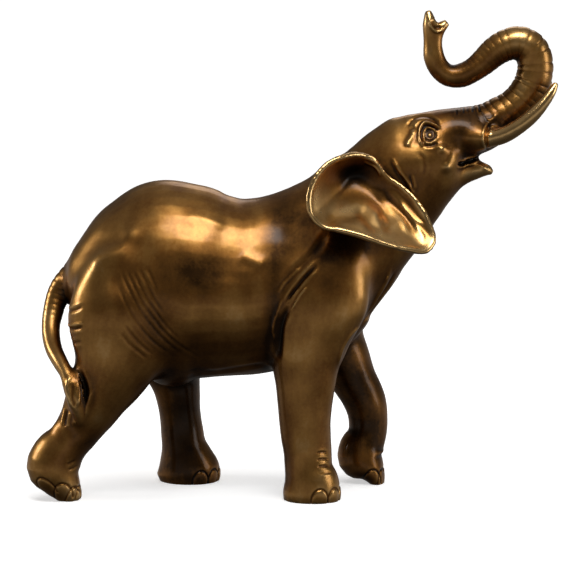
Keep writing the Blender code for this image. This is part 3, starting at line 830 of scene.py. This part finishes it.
def thickened(bm, thickness):
    """A sheet given its thickness on both sides."""
    mesh = bpy.data.meshes.new("sheet")
    bm.to_mesh(mesh)
    bm.free()

    def set_up(scratch):
        solidify = scratch.modifiers.new("Thickness", "SOLIDIFY")
        solidify.thickness = thickness
        solidify.offset = 0.0

    result = bmesh.new()
    result.from_mesh(evaluated(mesh, set_up))
    return result


def forms():
    """Every lofted form, with the width of the soft fillet where it runs into the others."""
    near = -1
    far = 1
    legs = (
        (NEAR_HIND, near, HIND_LEG_FILLET),
        (FAR_HIND, far, HIND_LEG_FILLET),
        (NEAR_FORE, near, FORE_LEG_FILLET),
        (FAR_FORE, far, FORE_LEG_FILLET),
    )
    small = (
        (JAW, near, SMALL_STEP, 24, JAW_FILLET),
        (WITHERS, near, LARGE_STEP, LEG_SIDES, WITHERS_FILLET),
        (MOUTH, near, SMALL_STEP, 24, MOUTH_FILLET),
        (LIP_FOLD, near, SMALL_STEP, 24, LIP_FILLET),
        (LIP_FOLD, far, SMALL_STEP, 24, LIP_FILLET),
        (TUSK, near, SMALL_STEP, 20, TUSK_FILLET),
        (TUSK, far, SMALL_STEP, 20, TUSK_FILLET),
        (LONG_FINGER, near, FINE_STEP, 16, FINGER_FILLET),
        (SHORT_FINGER, near, FINE_STEP, 16, FINGER_FILLET),
        (TAIL, near, TAIL_STEP, 20, TAIL_FILLET),
    )
    made = [(loft(smooth_rows(body_rows(), LARGE_STEP), BODY_SIDES), BODY_FILLET)]
    for rows, side, fillet in legs:
        made.append((loft(smooth_rows(leg_rows(rows, side), LARGE_STEP), LEG_SIDES), fillet))
    for rows, side, step, sides, fillet in small:
        made.append((loft(smooth_rows(mirrored_rows(rows, side), step), sides), fillet))
    return made + [(ear(near), EAR_FILLET), (ear(far), EAR_FILLET)]


def skin(shapes):
    """All the forms under one skin of small even faces."""
    copies = [form.copy() for form, blend in shapes]
    total = joined(copies)
    mesh = bpy.data.meshes.new("forms")
    total.to_mesh(mesh)
    total.free()

    def set_up(scratch):
        remesh = scratch.modifiers.new("Skin", "REMESH")
        remesh.mode = "VOXEL"
        remesh.voxel_size = GRAIN

    return evaluated(mesh, set_up)


def whole(mesh):
    """A mesh without the small closed bubbles that hide between its forms."""
    label = np.arange(len(mesh.vertices))
    pairs = edge_pairs(mesh)
    settled = False
    while not settled:
        low = np.minimum(label[pairs[:, 0]], label[pairs[:, 1]])
        joined_up = label.copy()
        np.minimum.at(joined_up, pairs[:, 0], low)
        np.minimum.at(joined_up, pairs[:, 1], low)
        joined_up = joined_up[joined_up]
        settled = (joined_up == label).all()
        label = joined_up
    names, counts = np.unique(label, return_counts=True)
    if len(names) == 1:
        return mesh
    biggest = names[counts.argmax()]
    bm = bmesh.new()
    bm.from_mesh(mesh)
    bm.verts.ensure_lookup_table()
    bubbles = [bm.verts[index] for index in np.nonzero(label != biggest)[0]]
    bmesh.ops.delete(bm, geom=bubbles, context="VERTS")
    bm.to_mesh(mesh)
    bm.free()
    return mesh


def edge_pairs(mesh):
    """The two vertices of every edge."""
    pairs = np.empty(len(mesh.edges) * 2, dtype=np.int32)
    mesh.edges.foreach_get("vertices", pairs)
    return pairs.reshape(-1, 2)


def places_of(mesh):
    """Vertex places of a mesh, in parts of the height."""
    flat = np.empty(len(mesh.vertices) * 3)
    mesh.vertices.foreach_get("co", flat)
    return flat.reshape(-1, 3) / UNIT


def normals_of(mesh):
    """Vertex normals of a mesh."""
    flat = np.empty(len(mesh.vertices) * 3)
    mesh.vertices.foreach_get("normal", flat)
    return flat.reshape(-1, 3)


def move_to(mesh, places):
    """Moves the vertices of a mesh to new places."""
    mesh.vertices.foreach_set("co", (places * UNIT).ravel())
    mesh.update()


def reach(shapes, places, limit):
    """Distance from every place to every form, no more than a limit."""
    found = np.full((len(shapes), len(places)), limit)
    for row, (form, blend) in enumerate(shapes):
        corners = np.array([vert.co for vert in form.verts]) / UNIT
        inside = (places > corners.min(axis=0) - limit) & (places < corners.max(axis=0) + limit)
        tree = BVHTree.FromBMesh(form)
        for index in np.nonzero(inside.all(axis=1))[0]:
            hit = tree.find_nearest(Vector(places[index]) * UNIT, limit * UNIT)
            if hit[3] is not None:
                found[row, index] = hit[3] / UNIT
    return found


def crease_weights(shapes, distances):
    """How near each place is to a crease between two forms: 1 in it, 0 away from it."""
    weights = np.zeros(distances.shape[1])
    for row, (form, blend) in enumerate(shapes):
        others = np.delete(distances, row, axis=0).min(axis=0)
        gap = np.clip(np.maximum(others, distances[row]) / blend, 0.0, 1.0)
        weights = np.maximum(weights, (1 - gap) ** 2 * (1 + 2 * gap))
    return weights


def blurred(mesh, values, rounds, strength=0.5, weights=None, push=None):
    """Values drawn toward their neighbours' mean; push undoes the shrinking of places."""
    pairs = edge_pairs(mesh)
    both = np.concatenate([pairs[:, 0], pairs[:, 1]])
    across = np.concatenate([pairs[:, 1], pairs[:, 0]])
    count = np.maximum(np.bincount(both, minlength=len(values)), 1)[:, None]
    share = np.ones((len(values), 1)) if weights is None else weights[:, None]
    columns = values.reshape(len(values), -1)
    steps = [strength] if push is None else [strength, push]
    for step in steps * rounds:
        middle = np.stack([np.bincount(both, columns[across, axis], len(columns))
                           for axis in range(columns.shape[1])], axis=1) / count
        columns = columns + step * share * (middle - columns)
    return columns.reshape(values.shape)


def rounds_for(spread_width):
    """Rounds of smoothing that even out bumps of a given width, in metres."""
    return round((spread_width / GRAIN) ** 2)


def facing_out(places, normals):
    """How much each place belongs to an outer flank: 1 facing out, 0 on inner and end faces."""
    return np.clip((np.sign(places[:, 1]) * normals[:, 1] - 0.05) / 0.3, 0.0, 1.0)


def distance_to_line(points, line):
    """Distance of each point to a broken line, and the share of the line passed there."""
    nearest = np.full(len(points), np.inf)
    passed = np.zeros(len(points))
    for index in range(len(line) - 1):
        start = line[index]
        run = line[index + 1] - start
        share = np.clip((points - start) @ run / (run @ run), 0.0, 1.0)
        gap = np.linalg.norm(points - start - share[:, None] * run, axis=1)
        closer = gap < nearest
        nearest[closer] = gap[closer]
        passed[closer] = (index + share[closer]) / (len(line) - 1)
    return nearest, passed


def smooth_line(points):
    """A smooth line on a flank through its chosen places."""
    rows = [(x, 0.0, z) for x, z in points]
    return smooth_rows(rows, LINE_STEP)[:, [0, 2]]


def close_to(flat, line, margin):
    """Which places lie within a margin of the box round a line."""
    inside = (flat > line.min(axis=0) - margin) & (flat < line.max(axis=0) + margin)
    return np.nonzero(inside.all(axis=1))[0]


def folds(flat, table, taper=6.0):
    """Height of folds: a cut with a low ridge on each side, or a ridge where the depth is negative."""
    height = np.zeros(len(flat))
    for points, width, depth in table:
        line = smooth_line(points)
        picked = close_to(flat, line, 4 * width)
        gap, passed = distance_to_line(flat[picked], line)
        ends = np.clip(np.minimum(passed, 1 - passed) * taper, 0.0, 1.0)
        cut = np.exp(-(gap / width) ** 2)
        ridge = np.exp(-((gap - 2 * width) / width) ** 2)
        profile = 0.35 * ridge - cut if depth > 0 else -cut
        height[picked] += ends * depth * profile
    return height


def rounded(flat, table):
    """Height of round swellings and hollows."""
    height = np.zeros(len(flat))
    for x, z, radius, rise in table:
        gap = np.linalg.norm(flat - np.array([x, z]), axis=1)
        height += rise * np.exp(-(gap / radius) ** 2)
    return height


def swellings(flat):
    """Height of the muscles and bones under the skin of the flanks."""
    height = rounded(flat, SWELLINGS)
    line = smooth_line(HIP_CREST)
    picked = close_to(flat, line, 4 * HIP_CREST_WIDTH)
    gap, passed = distance_to_line(flat[picked], line)
    ends = np.clip(np.minimum(passed, 1 - passed) * 5 + 0.4, 0.0, 1.0)
    height[picked] += HIP_CREST_HEIGHT * ends * np.exp(-(gap / HIP_CREST_WIDTH) ** 2)
    return height


def eyes(flat):
    """A round ball sunk in its socket, with an iris, under heavy folded lids."""
    height = np.zeros(len(flat))
    picked = np.nonzero(np.linalg.norm(flat - np.array(EYE), axis=1) < EYE_REACH)[0]
    near = flat[picked]
    away = np.linalg.norm(near - np.array(EYE), axis=1)
    size = away / EYE_RADIUS
    ball = EYE_HEIGHT * np.sqrt(np.clip(1 - size ** 2, 0.0, 1.0))
    socket = -EYE_SOCKET_DEPTH * np.exp(-(away / EYE_SOCKET_RADIUS) ** 4)
    iris = -IRIS_DEPTH * np.exp(-((away - IRIS_RADIUS) / IRIS_WIDTH) ** 2)
    height[picked] = ball + socket + iris + folds(near, LIDS, taper=9.0)
    return height


def trunk_rings(places, normals, spine, spacing):
    """Height of the rings round the trunk, finer toward its tip and deepest above and below."""
    trunk = spine[int(np.argmax(spine[:, 0] > TRUNK_START)):, :3]
    along = np.arange(len(trunk)) * spacing
    steps = normalised(np.gradient(trunk, axis=0))
    share = np.clip((along - FINER_FROM) / FINER_OVER, 0.0, 1.0)
    pitch = RING_PITCH + (LAST_RING_PITCH - RING_PITCH) * share
    phase = np.cumsum(spacing / pitch)
    uneven = 0.16 * np.sin(along * 0.071) + 0.12 * np.sin(along * 0.19 + 1.0)
    offsets = places ** 2 @ np.ones(3)
    gaps = offsets[:, None] + (trunk ** 2).sum(axis=1) - 2 * places @ trunk.T
    near = gaps.argmin(axis=1)
    beyond = ((places - trunk[near]) * steps[near]).sum(axis=1)
    passed = along[near] + beyond
    turns = phase[near] + uneven[near] + beyond / pitch[near]
    fade = np.clip(passed / 60, 0.0, 1.0) * np.clip((along[-1] - passed - 60) / 160, 0.0, 1.0)
    fade *= 1 - 0.5 * share[near]
    fade *= 0.25 + 0.75 * (1 - normals[:, 1] ** 2)
    fade *= np.clip(np.maximum((passed - 80) / 30, 2 * normals[:, 2]), 0.0, 1.0)
    strength = 0.75 + 0.35 * np.sin(np.floor(turns) * 2.4)
    wave = np.abs(np.sin(math.pi * turns))
    groove = np.exp(-(wave / 0.30) ** 2)
    return np.where(near > 0, RING_DEPTH * fade * (0.35 * wave - strength * groove), 0.0)


def toenails(places, normals):
    """Height of the low arched nails round the front of each foot."""
    height = np.zeros(len(places))
    for (x, y), (length, width), nails in TOENAILS:
        for heading, rise in nails:
            turn = math.radians(heading)
            out = np.array([math.cos(turn), math.sin(turn), 0.0])
            across = np.array([-out[1], out[0], 0.0])
            middle = np.array([x, y, rise], float) + out * np.array([length, width, 0.0])
            away = places - middle
            side = away @ across / NAIL_WIDTH
            up = away[:, 2] / NAIL_HEIGHT
            size = np.hypot(side, np.where(up > 0, up, up * NAIL_FOOT))
            shown = (np.abs(away @ out) < NAIL_REACH) & (normals @ out > 0.1)
            nail = NAIL_RISE * np.sqrt(np.clip(1 - size ** 2, 0.0, 1.0))
            groove = -NAIL_GROOVE * np.exp(-((size - NAIL_GROOVE_PLACE) / NAIL_GROOVE_WIDTH) ** 2)
            groove *= up > -NAIL_FOOT
            height += np.where(shown, nail + groove, 0.0)
    return height


def tail_folds(places):
    """Height of the wrinkles round the root of the tail and of the locks of its tuft."""
    rows = smooth_rows(mirrored_rows(TAIL, -1), FINE_STEP)[:, :3]
    gaps = ((places[:, None, :] - rows[None, :, :]) ** 2).sum(axis=2)
    near = gaps.argmin(axis=1)
    steps = normalised(np.gradient(rows, axis=0))
    beyond = ((places - rows[near]) * steps[near]).sum(axis=1)
    passed = near * FINE_STEP + beyond
    root = np.clip(1 - passed / WRINKLE_REACH, 0.0, 1.0)
    wrinkle = -WRINKLE_DEPTH * root * np.exp(-(np.sin(math.pi * passed / WRINKLE_PITCH) / 0.4) ** 2)
    return wrinkle + folds(places[:, [0, 2]], LOCKS)


def kneaded(places):
    """Slight unevenness of a surface modelled by hand."""
    broad = [noise.noise(Vector(place) / BROAD_WAVE) for place in places]
    fine = [noise.noise(Vector(place) / FINE_WAVE + Vector(FINE_WAVE_SHIFT)) for place in places]
    return BROAD_WAVE_HEIGHT * np.array(broad) + FINE_WAVE_HEIGHT * np.array(fine)


def members(nearest):
    """How much each place belongs to the skin, trunk, legs, tail, each ear and the tusks."""
    legs = (nearest > BODY_INDEX) & (nearest <= LAST_LEG_INDEX)
    tusks = (nearest > LAST_HEAD_INDEX) & (nearest <= LAST_TUSK_INDEX)
    kinds = (nearest <= LAST_HEAD_INDEX, nearest == BODY_INDEX, legs, nearest == TAIL_INDEX,
             nearest == NEAR_EAR_INDEX, nearest == FAR_EAR_INDEX, tusks)
    return np.stack(kinds, axis=1) * 1.0


def ear_folds(flat):
    """Height of the folds and lobes inside an ear."""
    return folds(flat, EAR_FOLDS) + rounded(flat, EAR_LOBES)


def carved(mesh, places, member):
    """Places moved along their normals by the fine carving."""
    move_to(mesh, places)
    normals = normals_of(mesh)
    flat = places[:, [0, 2]]
    out = facing_out(places, normals)
    fan = tuple((line, FAN_WIDTH, FAN_DEPTH) for line in FAN)
    skin_height = folds(flat, FOLDS) + folds(flat, fan) + swellings(flat) + eyes(flat)
    height = skin_height * out * member[:, SKIN]
    height += folds(flat, SOCKET) * out * (member[:, SKIN] + member[:, TUSKS])
    height += folds(flat, NOSTRILS) * out * (places[:, 2] > NOSTRIL_HEIGHT)
    spine = smooth_rows(body_rows(), FINE_STEP)
    beyond_neck = (places[:, 0] > RINGS_BEYOND_X) & (places[:, 2] > RINGS_ABOVE_Z)
    picked = np.nonzero((member[:, TRUNK] > FAINT) & beyond_neck)[0]
    height[picked] += member[picked, TRUNK] * trunk_rings(places[picked], normals[picked], spine, FINE_STEP)
    picked = np.nonzero((member[:, LEGS] + member[:, TRUNK] > FAINT) & (places[:, 2] < HIGHEST_NAIL))[0]
    height[picked] += toenails(places[picked], normals[picked])
    picked = np.nonzero(member[:, TAILS] > FAINT)[0]
    height[picked] += member[picked, TAILS] * tail_folds(places[picked])
    hollow = np.array(EAR_HOLLOW, float)[[0, 2]]
    shift = np.array(FAR_EAR_SHIFT)[[0, 2]]
    as_near = (flat - hollow - shift) / np.array(FAR_EAR_SHARES)[[0, 2]] + hollow
    for side, which, where in ((-1, NEAR_EAR, flat), (1, FAR_EAR, as_near)):
        inner = np.clip(side * normals[:, 1] * 2, 0.0, 1.0) * member[:, which]
        picked = np.nonzero(inner > FAINT)[0]
        height[picked] += inner[picked] * ear_folds(where[picked])
    return places + normals * height[:, None]


def pressed_flat(places):
    """The soles pressed flat on the ground."""
    places = places.copy()
    places[:, 2] = np.maximum(places[:, 2], 0.0)
    return places


def subdivided(mesh):
    """The mesh with four faces for each one, softly rounded."""

    def set_up(scratch):
        finer = scratch.modifiers.new("Finer", "SUBSURF")
        finer.levels = 1

    return evaluated(mesh, set_up)


def decimated(mesh, triangles):
    """The mesh with fewer faces, most of them where it bends."""

    def set_up(scratch):
        decimate = scratch.modifiers.new("Facets", "DECIMATE")
        decimate.ratio = triangles / (2 * len(mesh.polygons))
        decimate.use_collapse_triangulate = True

    return evaluated(mesh, set_up)


def keep(mesh, name, values):
    """Keeps a number for each vertex in a mesh."""
    layer = mesh.attributes.new(name, "FLOAT", "POINT")
    layer.data.foreach_set("value", np.ascontiguousarray(values, dtype=np.float32))


def kept(mesh, name):
    """The numbers kept for each vertex."""
    values = np.empty(len(mesh.vertices), dtype=np.float32)
    mesh.attributes[name].data.foreach_get("value", values)
    return values.astype(float)


def openness(mesh):
    """Share of the sky over each vertex that is open within a short distance, from few rays."""
    places = places_of(mesh)
    normals = normals_of(mesh)
    tree = BVHTree.FromPolygons([vert.co for vert in mesh.vertices],
                                [tuple(face.vertices) for face in mesh.polygons])
    generator = np.random.default_rng(RAY_SEED)
    rays = normalised(generator.normal(size=(RAY_DIRECTIONS, 3)))
    chosen = np.arange(0, len(places), RAY_STRIDE)
    open_share = np.empty(len(chosen))
    for row, index in enumerate(chosen):
        normal = normals[index]
        start = Vector((places[index] + normal * 1.5) * UNIT)
        clear = 0.0
        for step in range(RAY_COUNT):
            ray = rays[(row * 5 + step * 3) % RAY_DIRECTIONS]
            ray = ray + normal * 1.02
            hit = tree.ray_cast(start, Vector(ray), RAY_REACH * UNIT)
            clear += 1.0 if hit[3] is None else 0.6 * hit[3] / (RAY_REACH * UNIT)
        open_share[row] = clear / RAY_COUNT
    return places[chosen], open_share


def spread(sources, values, places, count=6):
    """Values at places, averaged from the nearest sources."""
    tree = KDTree(len(sources))
    for index, source in enumerate(sources):
        tree.insert(source, index)
    tree.balance()
    result = np.empty(len(places))
    for index, place in enumerate(places):
        found = tree.find_n(place, count)
        weights = [1 / (distance + 1.0) for at, which, distance in found]
        total = sum(weights)
        result[index] = sum(w * values[which] for w, (at, which, distance) in zip(weights, found)) / total
    return result


def patches(places, table):
    """The broad dark and bright areas, partly patina and partly painted shade and painted highlight."""
    tone_and_painted_light = np.zeros(len(places))
    for x, z, wide, high, strength in table:
        gap = ((places[:, 0] - x) / wide) ** 2 + ((places[:, 2] - z) / high) ** 2
        tone_and_painted_light += strength * np.exp(-gap)
    return tone_and_painted_light


def standing_out(mesh, places, width):
    """How far each vertex stands out of its surroundings, over about a given width."""
    pairs = edge_pairs(mesh)
    gap = np.median(np.linalg.norm(places[pairs[:, 0]] - places[pairs[:, 1]], axis=1))
    rounds = max(1, int(4 * (width / gap) ** 2))
    around = blurred(mesh, places, rounds)
    return ((places - around) * normals_of(mesh)).sum(axis=1)


def shades(mesh, member, broad, fine):
    """Keeps in the mesh how worn and how tinted each vertex is, with painted shade where its surroundings
    close in and painted shade and highlight in its tint.
    """
    places = places_of(mesh)
    normals = normals_of(mesh)
    near_places, near_open = openness(mesh)
    hollow = blurred(mesh, spread(near_places, near_open, places), EVEN_ROUNDS)
    wear_and_shade = FINE_WEAR * np.clip(fine / FINE_RELIEF, -1.0, 1.0)
    wear_and_shade += BROAD_WEAR * np.clip((broad - PLAIN_RELIEF) / BROAD_RELIEF, -1.0, 1.0)
    ears = member[:, NEAR_EAR] + member[:, FAR_EAR]
    # Painted shade, with patina in hollows, where the surroundings close in
    wear_and_shade += (OPEN_SHADE_AND_PATINA - EAR_CLOSENESS * ears) * (hollow - PLAIN_OPENNESS)
    inward = np.clip(-np.sign(places[:, 1]) * normals[:, 1], 0.0, 1.0)
    below = np.clip(1.2 - places[:, 2] / INNER_REACH, 0.0, 1.0)
    # Patina with painted shade and painted highlight in broad patches
    tone_and_painted_light = patches(places, PATINA_AND_PAINTED_LIGHT) * (1 - ears) + (EAR_TINT + patches(places, EAR_PATINA_AND_PAINTED_LIGHT)) * ears
    tone_and_painted_light += TUSK_TINT * member[:, TUSKS]
    # Painted shade on surfaces that face down
    tone_and_painted_light += UNDERSIDE_PAINTED_SHADE * np.clip(-normals[:, 2] - 0.2, 0, 1)
    # Painted shade and darker patina on the inner sides of the legs, low down
    tone_and_painted_light += INNER_SHADE_AND_PATINA * inward * below * (1 - member[:, TAILS])
    # Painted shade of the lids and darker patina in a ring round each pupil
    pupil = np.linalg.norm(places[:, [0, 2]] - np.array(EYE), axis=1)
    tone_and_painted_light += PUPIL_SHADE_AND_PATINA * np.exp(-((pupil - PUPIL_RING) / PUPIL_RING_WIDTH) ** 2) * (1 - ears)
    keep(mesh, "wear_and_shade", np.clip(0.5 + wear_and_shade, 0.0, 1.0))
    keep(mesh, "tone_and_painted_light", np.clip(0.5 + tone_and_painted_light, 0.0, 1.0))


def centre_over_origin(mesh):
    """Moves a mesh so that its extents are centred over the origin, its soles flat on z = 0."""
    places = places_of(mesh)
    middle = (places.min(axis=0) + places.max(axis=0)) / 2
    places -= np.array([middle[0], middle[1], 0.0])
    places[places[:, 2] < SOLE_SLACK, 2] = 0.0
    move_to(mesh, places)


def node(tree, kind, **settings):
    """A new node with its settings."""
    made = tree.nodes.new(kind)
    for name, value in settings.items():
        setattr(made, name, value)
    return made


def sums(tree, operation, first, second):
    """A node that works out one number from two, each a socket or a number."""
    made = node(tree, "ShaderNodeMath", operation=operation)
    for index, value in enumerate((first, second)):
        if isinstance(value, (int, float)):
            made.inputs[index].default_value = value
        else:
            tree.links.new(value, made.inputs[index])
    return made.outputs[0]


def ramp(tree, factor, stops):
    """A colour ramp through its stops: place and linear colour."""
    made = node(tree, "ShaderNodeValToRGB")
    band = made.color_ramp
    while len(band.elements) < len(stops):
        band.elements.new(0.5)
    for element, (place, colour) in zip(band.elements, stops):
        element.position = place
        element.color = (*colour, 1.0)
    tree.links.new(factor, made.inputs[0])
    return made.outputs[0]


def grain(tree, scale, detail, roughness=0.55, stretch=(1.0, 1.0, 1.0)):
    """Noise in the object's own space, in features per metre."""
    where = node(tree, "ShaderNodeTexCoord")
    scaled = node(tree, "ShaderNodeMapping")
    scaled.inputs["Scale"].default_value = stretch
    tree.links.new(where.outputs["Object"], scaled.inputs["Vector"])
    made = node(tree, "ShaderNodeTexNoise")
    made.inputs["Scale"].default_value = scale
    made.inputs["Detail"].default_value = detail
    made.inputs["Roughness"].default_value = roughness
    tree.links.new(scaled.outputs[0], made.inputs["Vector"])
    return made.outputs[0]


def attribute(tree, name):
    """A number kept in the mesh."""
    return node(tree, "ShaderNodeAttribute", attribute_name=name).outputs["Fac"]


def varied(tree, value, amount):
    """How far a value between 0 and 1 is off its middle, times an amount."""
    return sums(tree, "MULTIPLY", sums(tree, "SUBTRACT", value, 0.5), amount)


def bronze():
    """Antique bronze: golden where hands and cloth rub it, nearly black where they never reach, with the
    painted shade and painted highlight kept in the mesh.
    """
    material = bpy.data.materials.new("Aged bronze")
    material.use_nodes = True
    tree = material.node_tree
    shader = tree.nodes["Principled BSDF"]
    mottle = grain(tree, CLOUD_SCALE, 3.0)
    streaks = grain(tree, STREAK_SCALE, 4.0, stretch=(1.0, 1.0, STREAK_STRETCH))
    speckle = grain(tree, SPECK_SCALE, 2.0)
    # Wear, with painted shade where the surroundings close in, and tint, with painted shade and painted
    # highlight
    wear_and_shade = sums(tree, "SUBTRACT", attribute(tree, "wear_and_shade"), 0.5)
    tone_and_painted_light = sums(tree, "SUBTRACT", attribute(tree, "tone_and_painted_light"), 0.5)
    cloudy = varied(tree, mottle, CLOUDS)
    streaky = varied(tree, streaks, STREAKS)
    dusty = varied(tree, speckle, SPECKS)
    total = PATINA_LEVEL
    for part_of in (wear_and_shade, tone_and_painted_light, cloudy, streaky, dusty):
        total = sums(tree, "ADD", part_of, total)
    tree.links.new(ramp(tree, total, BRONZE_COLOURS), shader.inputs["Base Color"])
    shader.inputs["Metallic"].default_value = 1.0
    rough = sums(tree, "MULTIPLY_ADD", total, -POLISH)
    rough.node.inputs[2].default_value = DARK_ROUGHNESS
    smeared = sums(tree, "ADD", rough, varied(tree, mottle, SMEARS))
    tree.links.new(smeared, shader.inputs["Roughness"])
    shader.inputs["Coat Weight"].default_value = WAX_WEIGHT
    shader.inputs["Coat Roughness"].default_value = WAX_ROUGHNESS
    bump = node(tree, "ShaderNodeBump")
    bump.inputs["Strength"].default_value = PORE_STRENGTH
    bump.inputs["Distance"].default_value = PORE_DEPTH
    tree.links.new(grain(tree, PORE_SCALE, 3.0), bump.inputs["Height"])
    tree.links.new(bump.outputs[0], shader.inputs["Normal"])
    return material


def elephant():
    """The whole casting as one mesh."""
    shapes = forms()
    mesh = whole(skin(shapes))
    places = places_of(mesh)
    distances = reach(shapes, places, FILLET_LIMIT)
    weights = crease_weights(shapes, distances)
    for line, width in BENDS:
        gap, passed = distance_to_line(places[:, [0, 2]], np.array(line, float))
        weights = np.maximum(weights, np.exp(-(gap / width) ** 2))
    nearest = distances.argmin(axis=0)
    beyond_brow = (places[:, 0] > TRUNK_START) | (places[:, 2] > TRUNK_TIP_HEIGHT)
    thin = (nearest > LAST_HEAD_INDEX) | ((nearest == BODY_INDEX) & beyond_brow)
    weights *= np.where(thin, THIN_CREASE_SHARE, 1.0)
    places = blurred(mesh, places, rounds_for(CREASE_SPREAD), weights=weights)
    places = blurred(mesh, places, EVEN_ROUNDS, push=PUSH_BACK)
    ears = blurred(mesh, np.where(nearest >= NEAR_EAR_INDEX, 1.0, 0.0), EVEN_ROUNDS)
    places = blurred(mesh, places, rounds_for(EAR_SPREAD), weights=ears, push=PUSH_BACK)
    move_to(mesh, places)
    for name, column in zip(KIND_NAMES, members(nearest).T):
        keep(mesh, name, column)
    for form, blend in shapes:
        form.free()
    firm = blurred(mesh, np.where(thin, THIN_WAVE_SHARE, 1.0), BORDER_ROUNDS)
    places = places + normals_of(mesh) * (firm * kneaded(places))[:, None]
    move_to(mesh, places)
    keep(mesh, "broad", standing_out(mesh, places, BROAD_SPAN))
    mesh = subdivided(mesh)
    member = np.stack([kept(mesh, name) for name in KIND_NAMES], axis=1)
    places = pressed_flat(carved(mesh, places_of(mesh), member))
    move_to(mesh, places)
    keep(mesh, "fine", standing_out(mesh, places, FINE_SPAN))
    mesh = decimated(mesh, TRIANGLES)
    member = np.stack([kept(mesh, name) for name in KIND_NAMES], axis=1)
    ears = np.clip(member[:, NEAR_EAR] + member[:, FAR_EAR], 0.0, 1.0)
    smoothed = blurred(mesh, places_of(mesh), FACET_ROUNDS, weights=ears, push=PUSH_BACK)
    move_to(mesh, pressed_flat(smoothed))
    shades(mesh, member, kept(mesh, "broad"), kept(mesh, "fine"))
    for name in KIND_NAMES + ["broad", "fine"]:
        mesh.attributes.remove(mesh.attributes[name])
    centre_over_origin(mesh)
    mesh.shade_smooth()
    mesh.materials.append(bronze())
    statue = added("bronze_elephant", mesh)
    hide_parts("elephant")
    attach(statue, "root")


def camera():
    """A long lens, a little above the statue and square to its flank."""
    data = bpy.data.cameras.new("camera")
    data.sensor_width = 36.0
    data.lens = LENS
    data.clip_start = 0.05
    data.clip_end = 500.0
    thing = added("camera", data)
    look = Vector((0.0, math.cos(CAMERA_PITCH), -math.sin(CAMERA_PITCH)))
    thing.location = Vector(CAMERA_TARGET) - look * CAMERA_DISTANCE
    thing.rotation_euler = look.to_track_quat("-Z", "Y").to_euler()
    bpy.context.scene.camera = thing


def floor():
    """A wide pale floor that glows a little, as white studio paper does."""
    bm = bmesh.new()
    signs = ((-1, -1), (1, -1), (1, 1), (-1, 1))
    corners = [bm.verts.new((x * FLOOR_HALF_WIDTH, y * FLOOR_HALF_WIDTH, 0.0)) for x, y in signs]
    bm.faces.new(corners)
    mesh = bpy.data.meshes.new("floor")
    bm.to_mesh(mesh)
    bm.free()
    material = bpy.data.materials.new("Pale paper")
    material.use_nodes = True
    shader = material.node_tree.nodes["Principled BSDF"]
    shader.inputs["Base Color"].default_value = (0.9, 0.9, 0.9, 1.0)
    shader.inputs["Roughness"].default_value = 0.9
    shader.inputs["Specular IOR Level"].default_value = 0.0
    shader.inputs["Emission Color"].default_value = (1.0, 1.0, 1.0, 1.0)
    shader.inputs["Emission Strength"].default_value = FLOOR_GLOW
    mesh.materials.append(material)
    thing = added("floor", mesh)
    thing.visible_glossy = False


def softboxes():
    """Large soft lamps above, to the left, to the right and behind."""
    for place, width, height, power in SOFTBOXES:
        data = bpy.data.lights.new("softbox", "AREA")
        data.shape = "ELLIPSE"
        data.size = width
        data.size_y = height
        data.energy = power
        thing = added("softbox", data)
        thing.location = place
        aim = Vector(SOFTBOX_AIM) - Vector(place)
        thing.rotation_euler = aim.to_track_quat("-Z", "Y").to_euler()


def ceiling():
    """Even light from above that whitens the paper and never glints on the bronze."""
    data = bpy.data.lights.new("ceiling", "SUN")
    data.energy = CEILING_POWER
    data.angle = CEILING_SPREAD
    thing = added("ceiling", data)
    thing.visible_glossy = False


def room():
    """The dim room round the lamps, lighter toward the ceiling."""
    world = bpy.data.worlds.new("room")
    bpy.context.scene.world = world
    world.use_nodes = True
    tree = world.node_tree
    where = node(tree, "ShaderNodeTexCoord")
    split = node(tree, "ShaderNodeSeparateXYZ")
    tree.links.new(where.outputs["Generated"], split.inputs[0])
    lift = sums(tree, "MULTIPLY_ADD", split.outputs["Z"], 0.5)
    lift.node.inputs[2].default_value = 0.5
    background = tree.nodes["Background"]
    tree.links.new(ramp(tree, lift, ROOM_COLOURS), background.inputs["Color"])
    background.inputs["Strength"].default_value = 1.0


def main():
    """The statue in its studio."""
    camera()
    floor()
    softboxes()
    ceiling()
    room()
    bpy.context.scene.view_settings.view_transform = "Standard"
    elephant()


main()
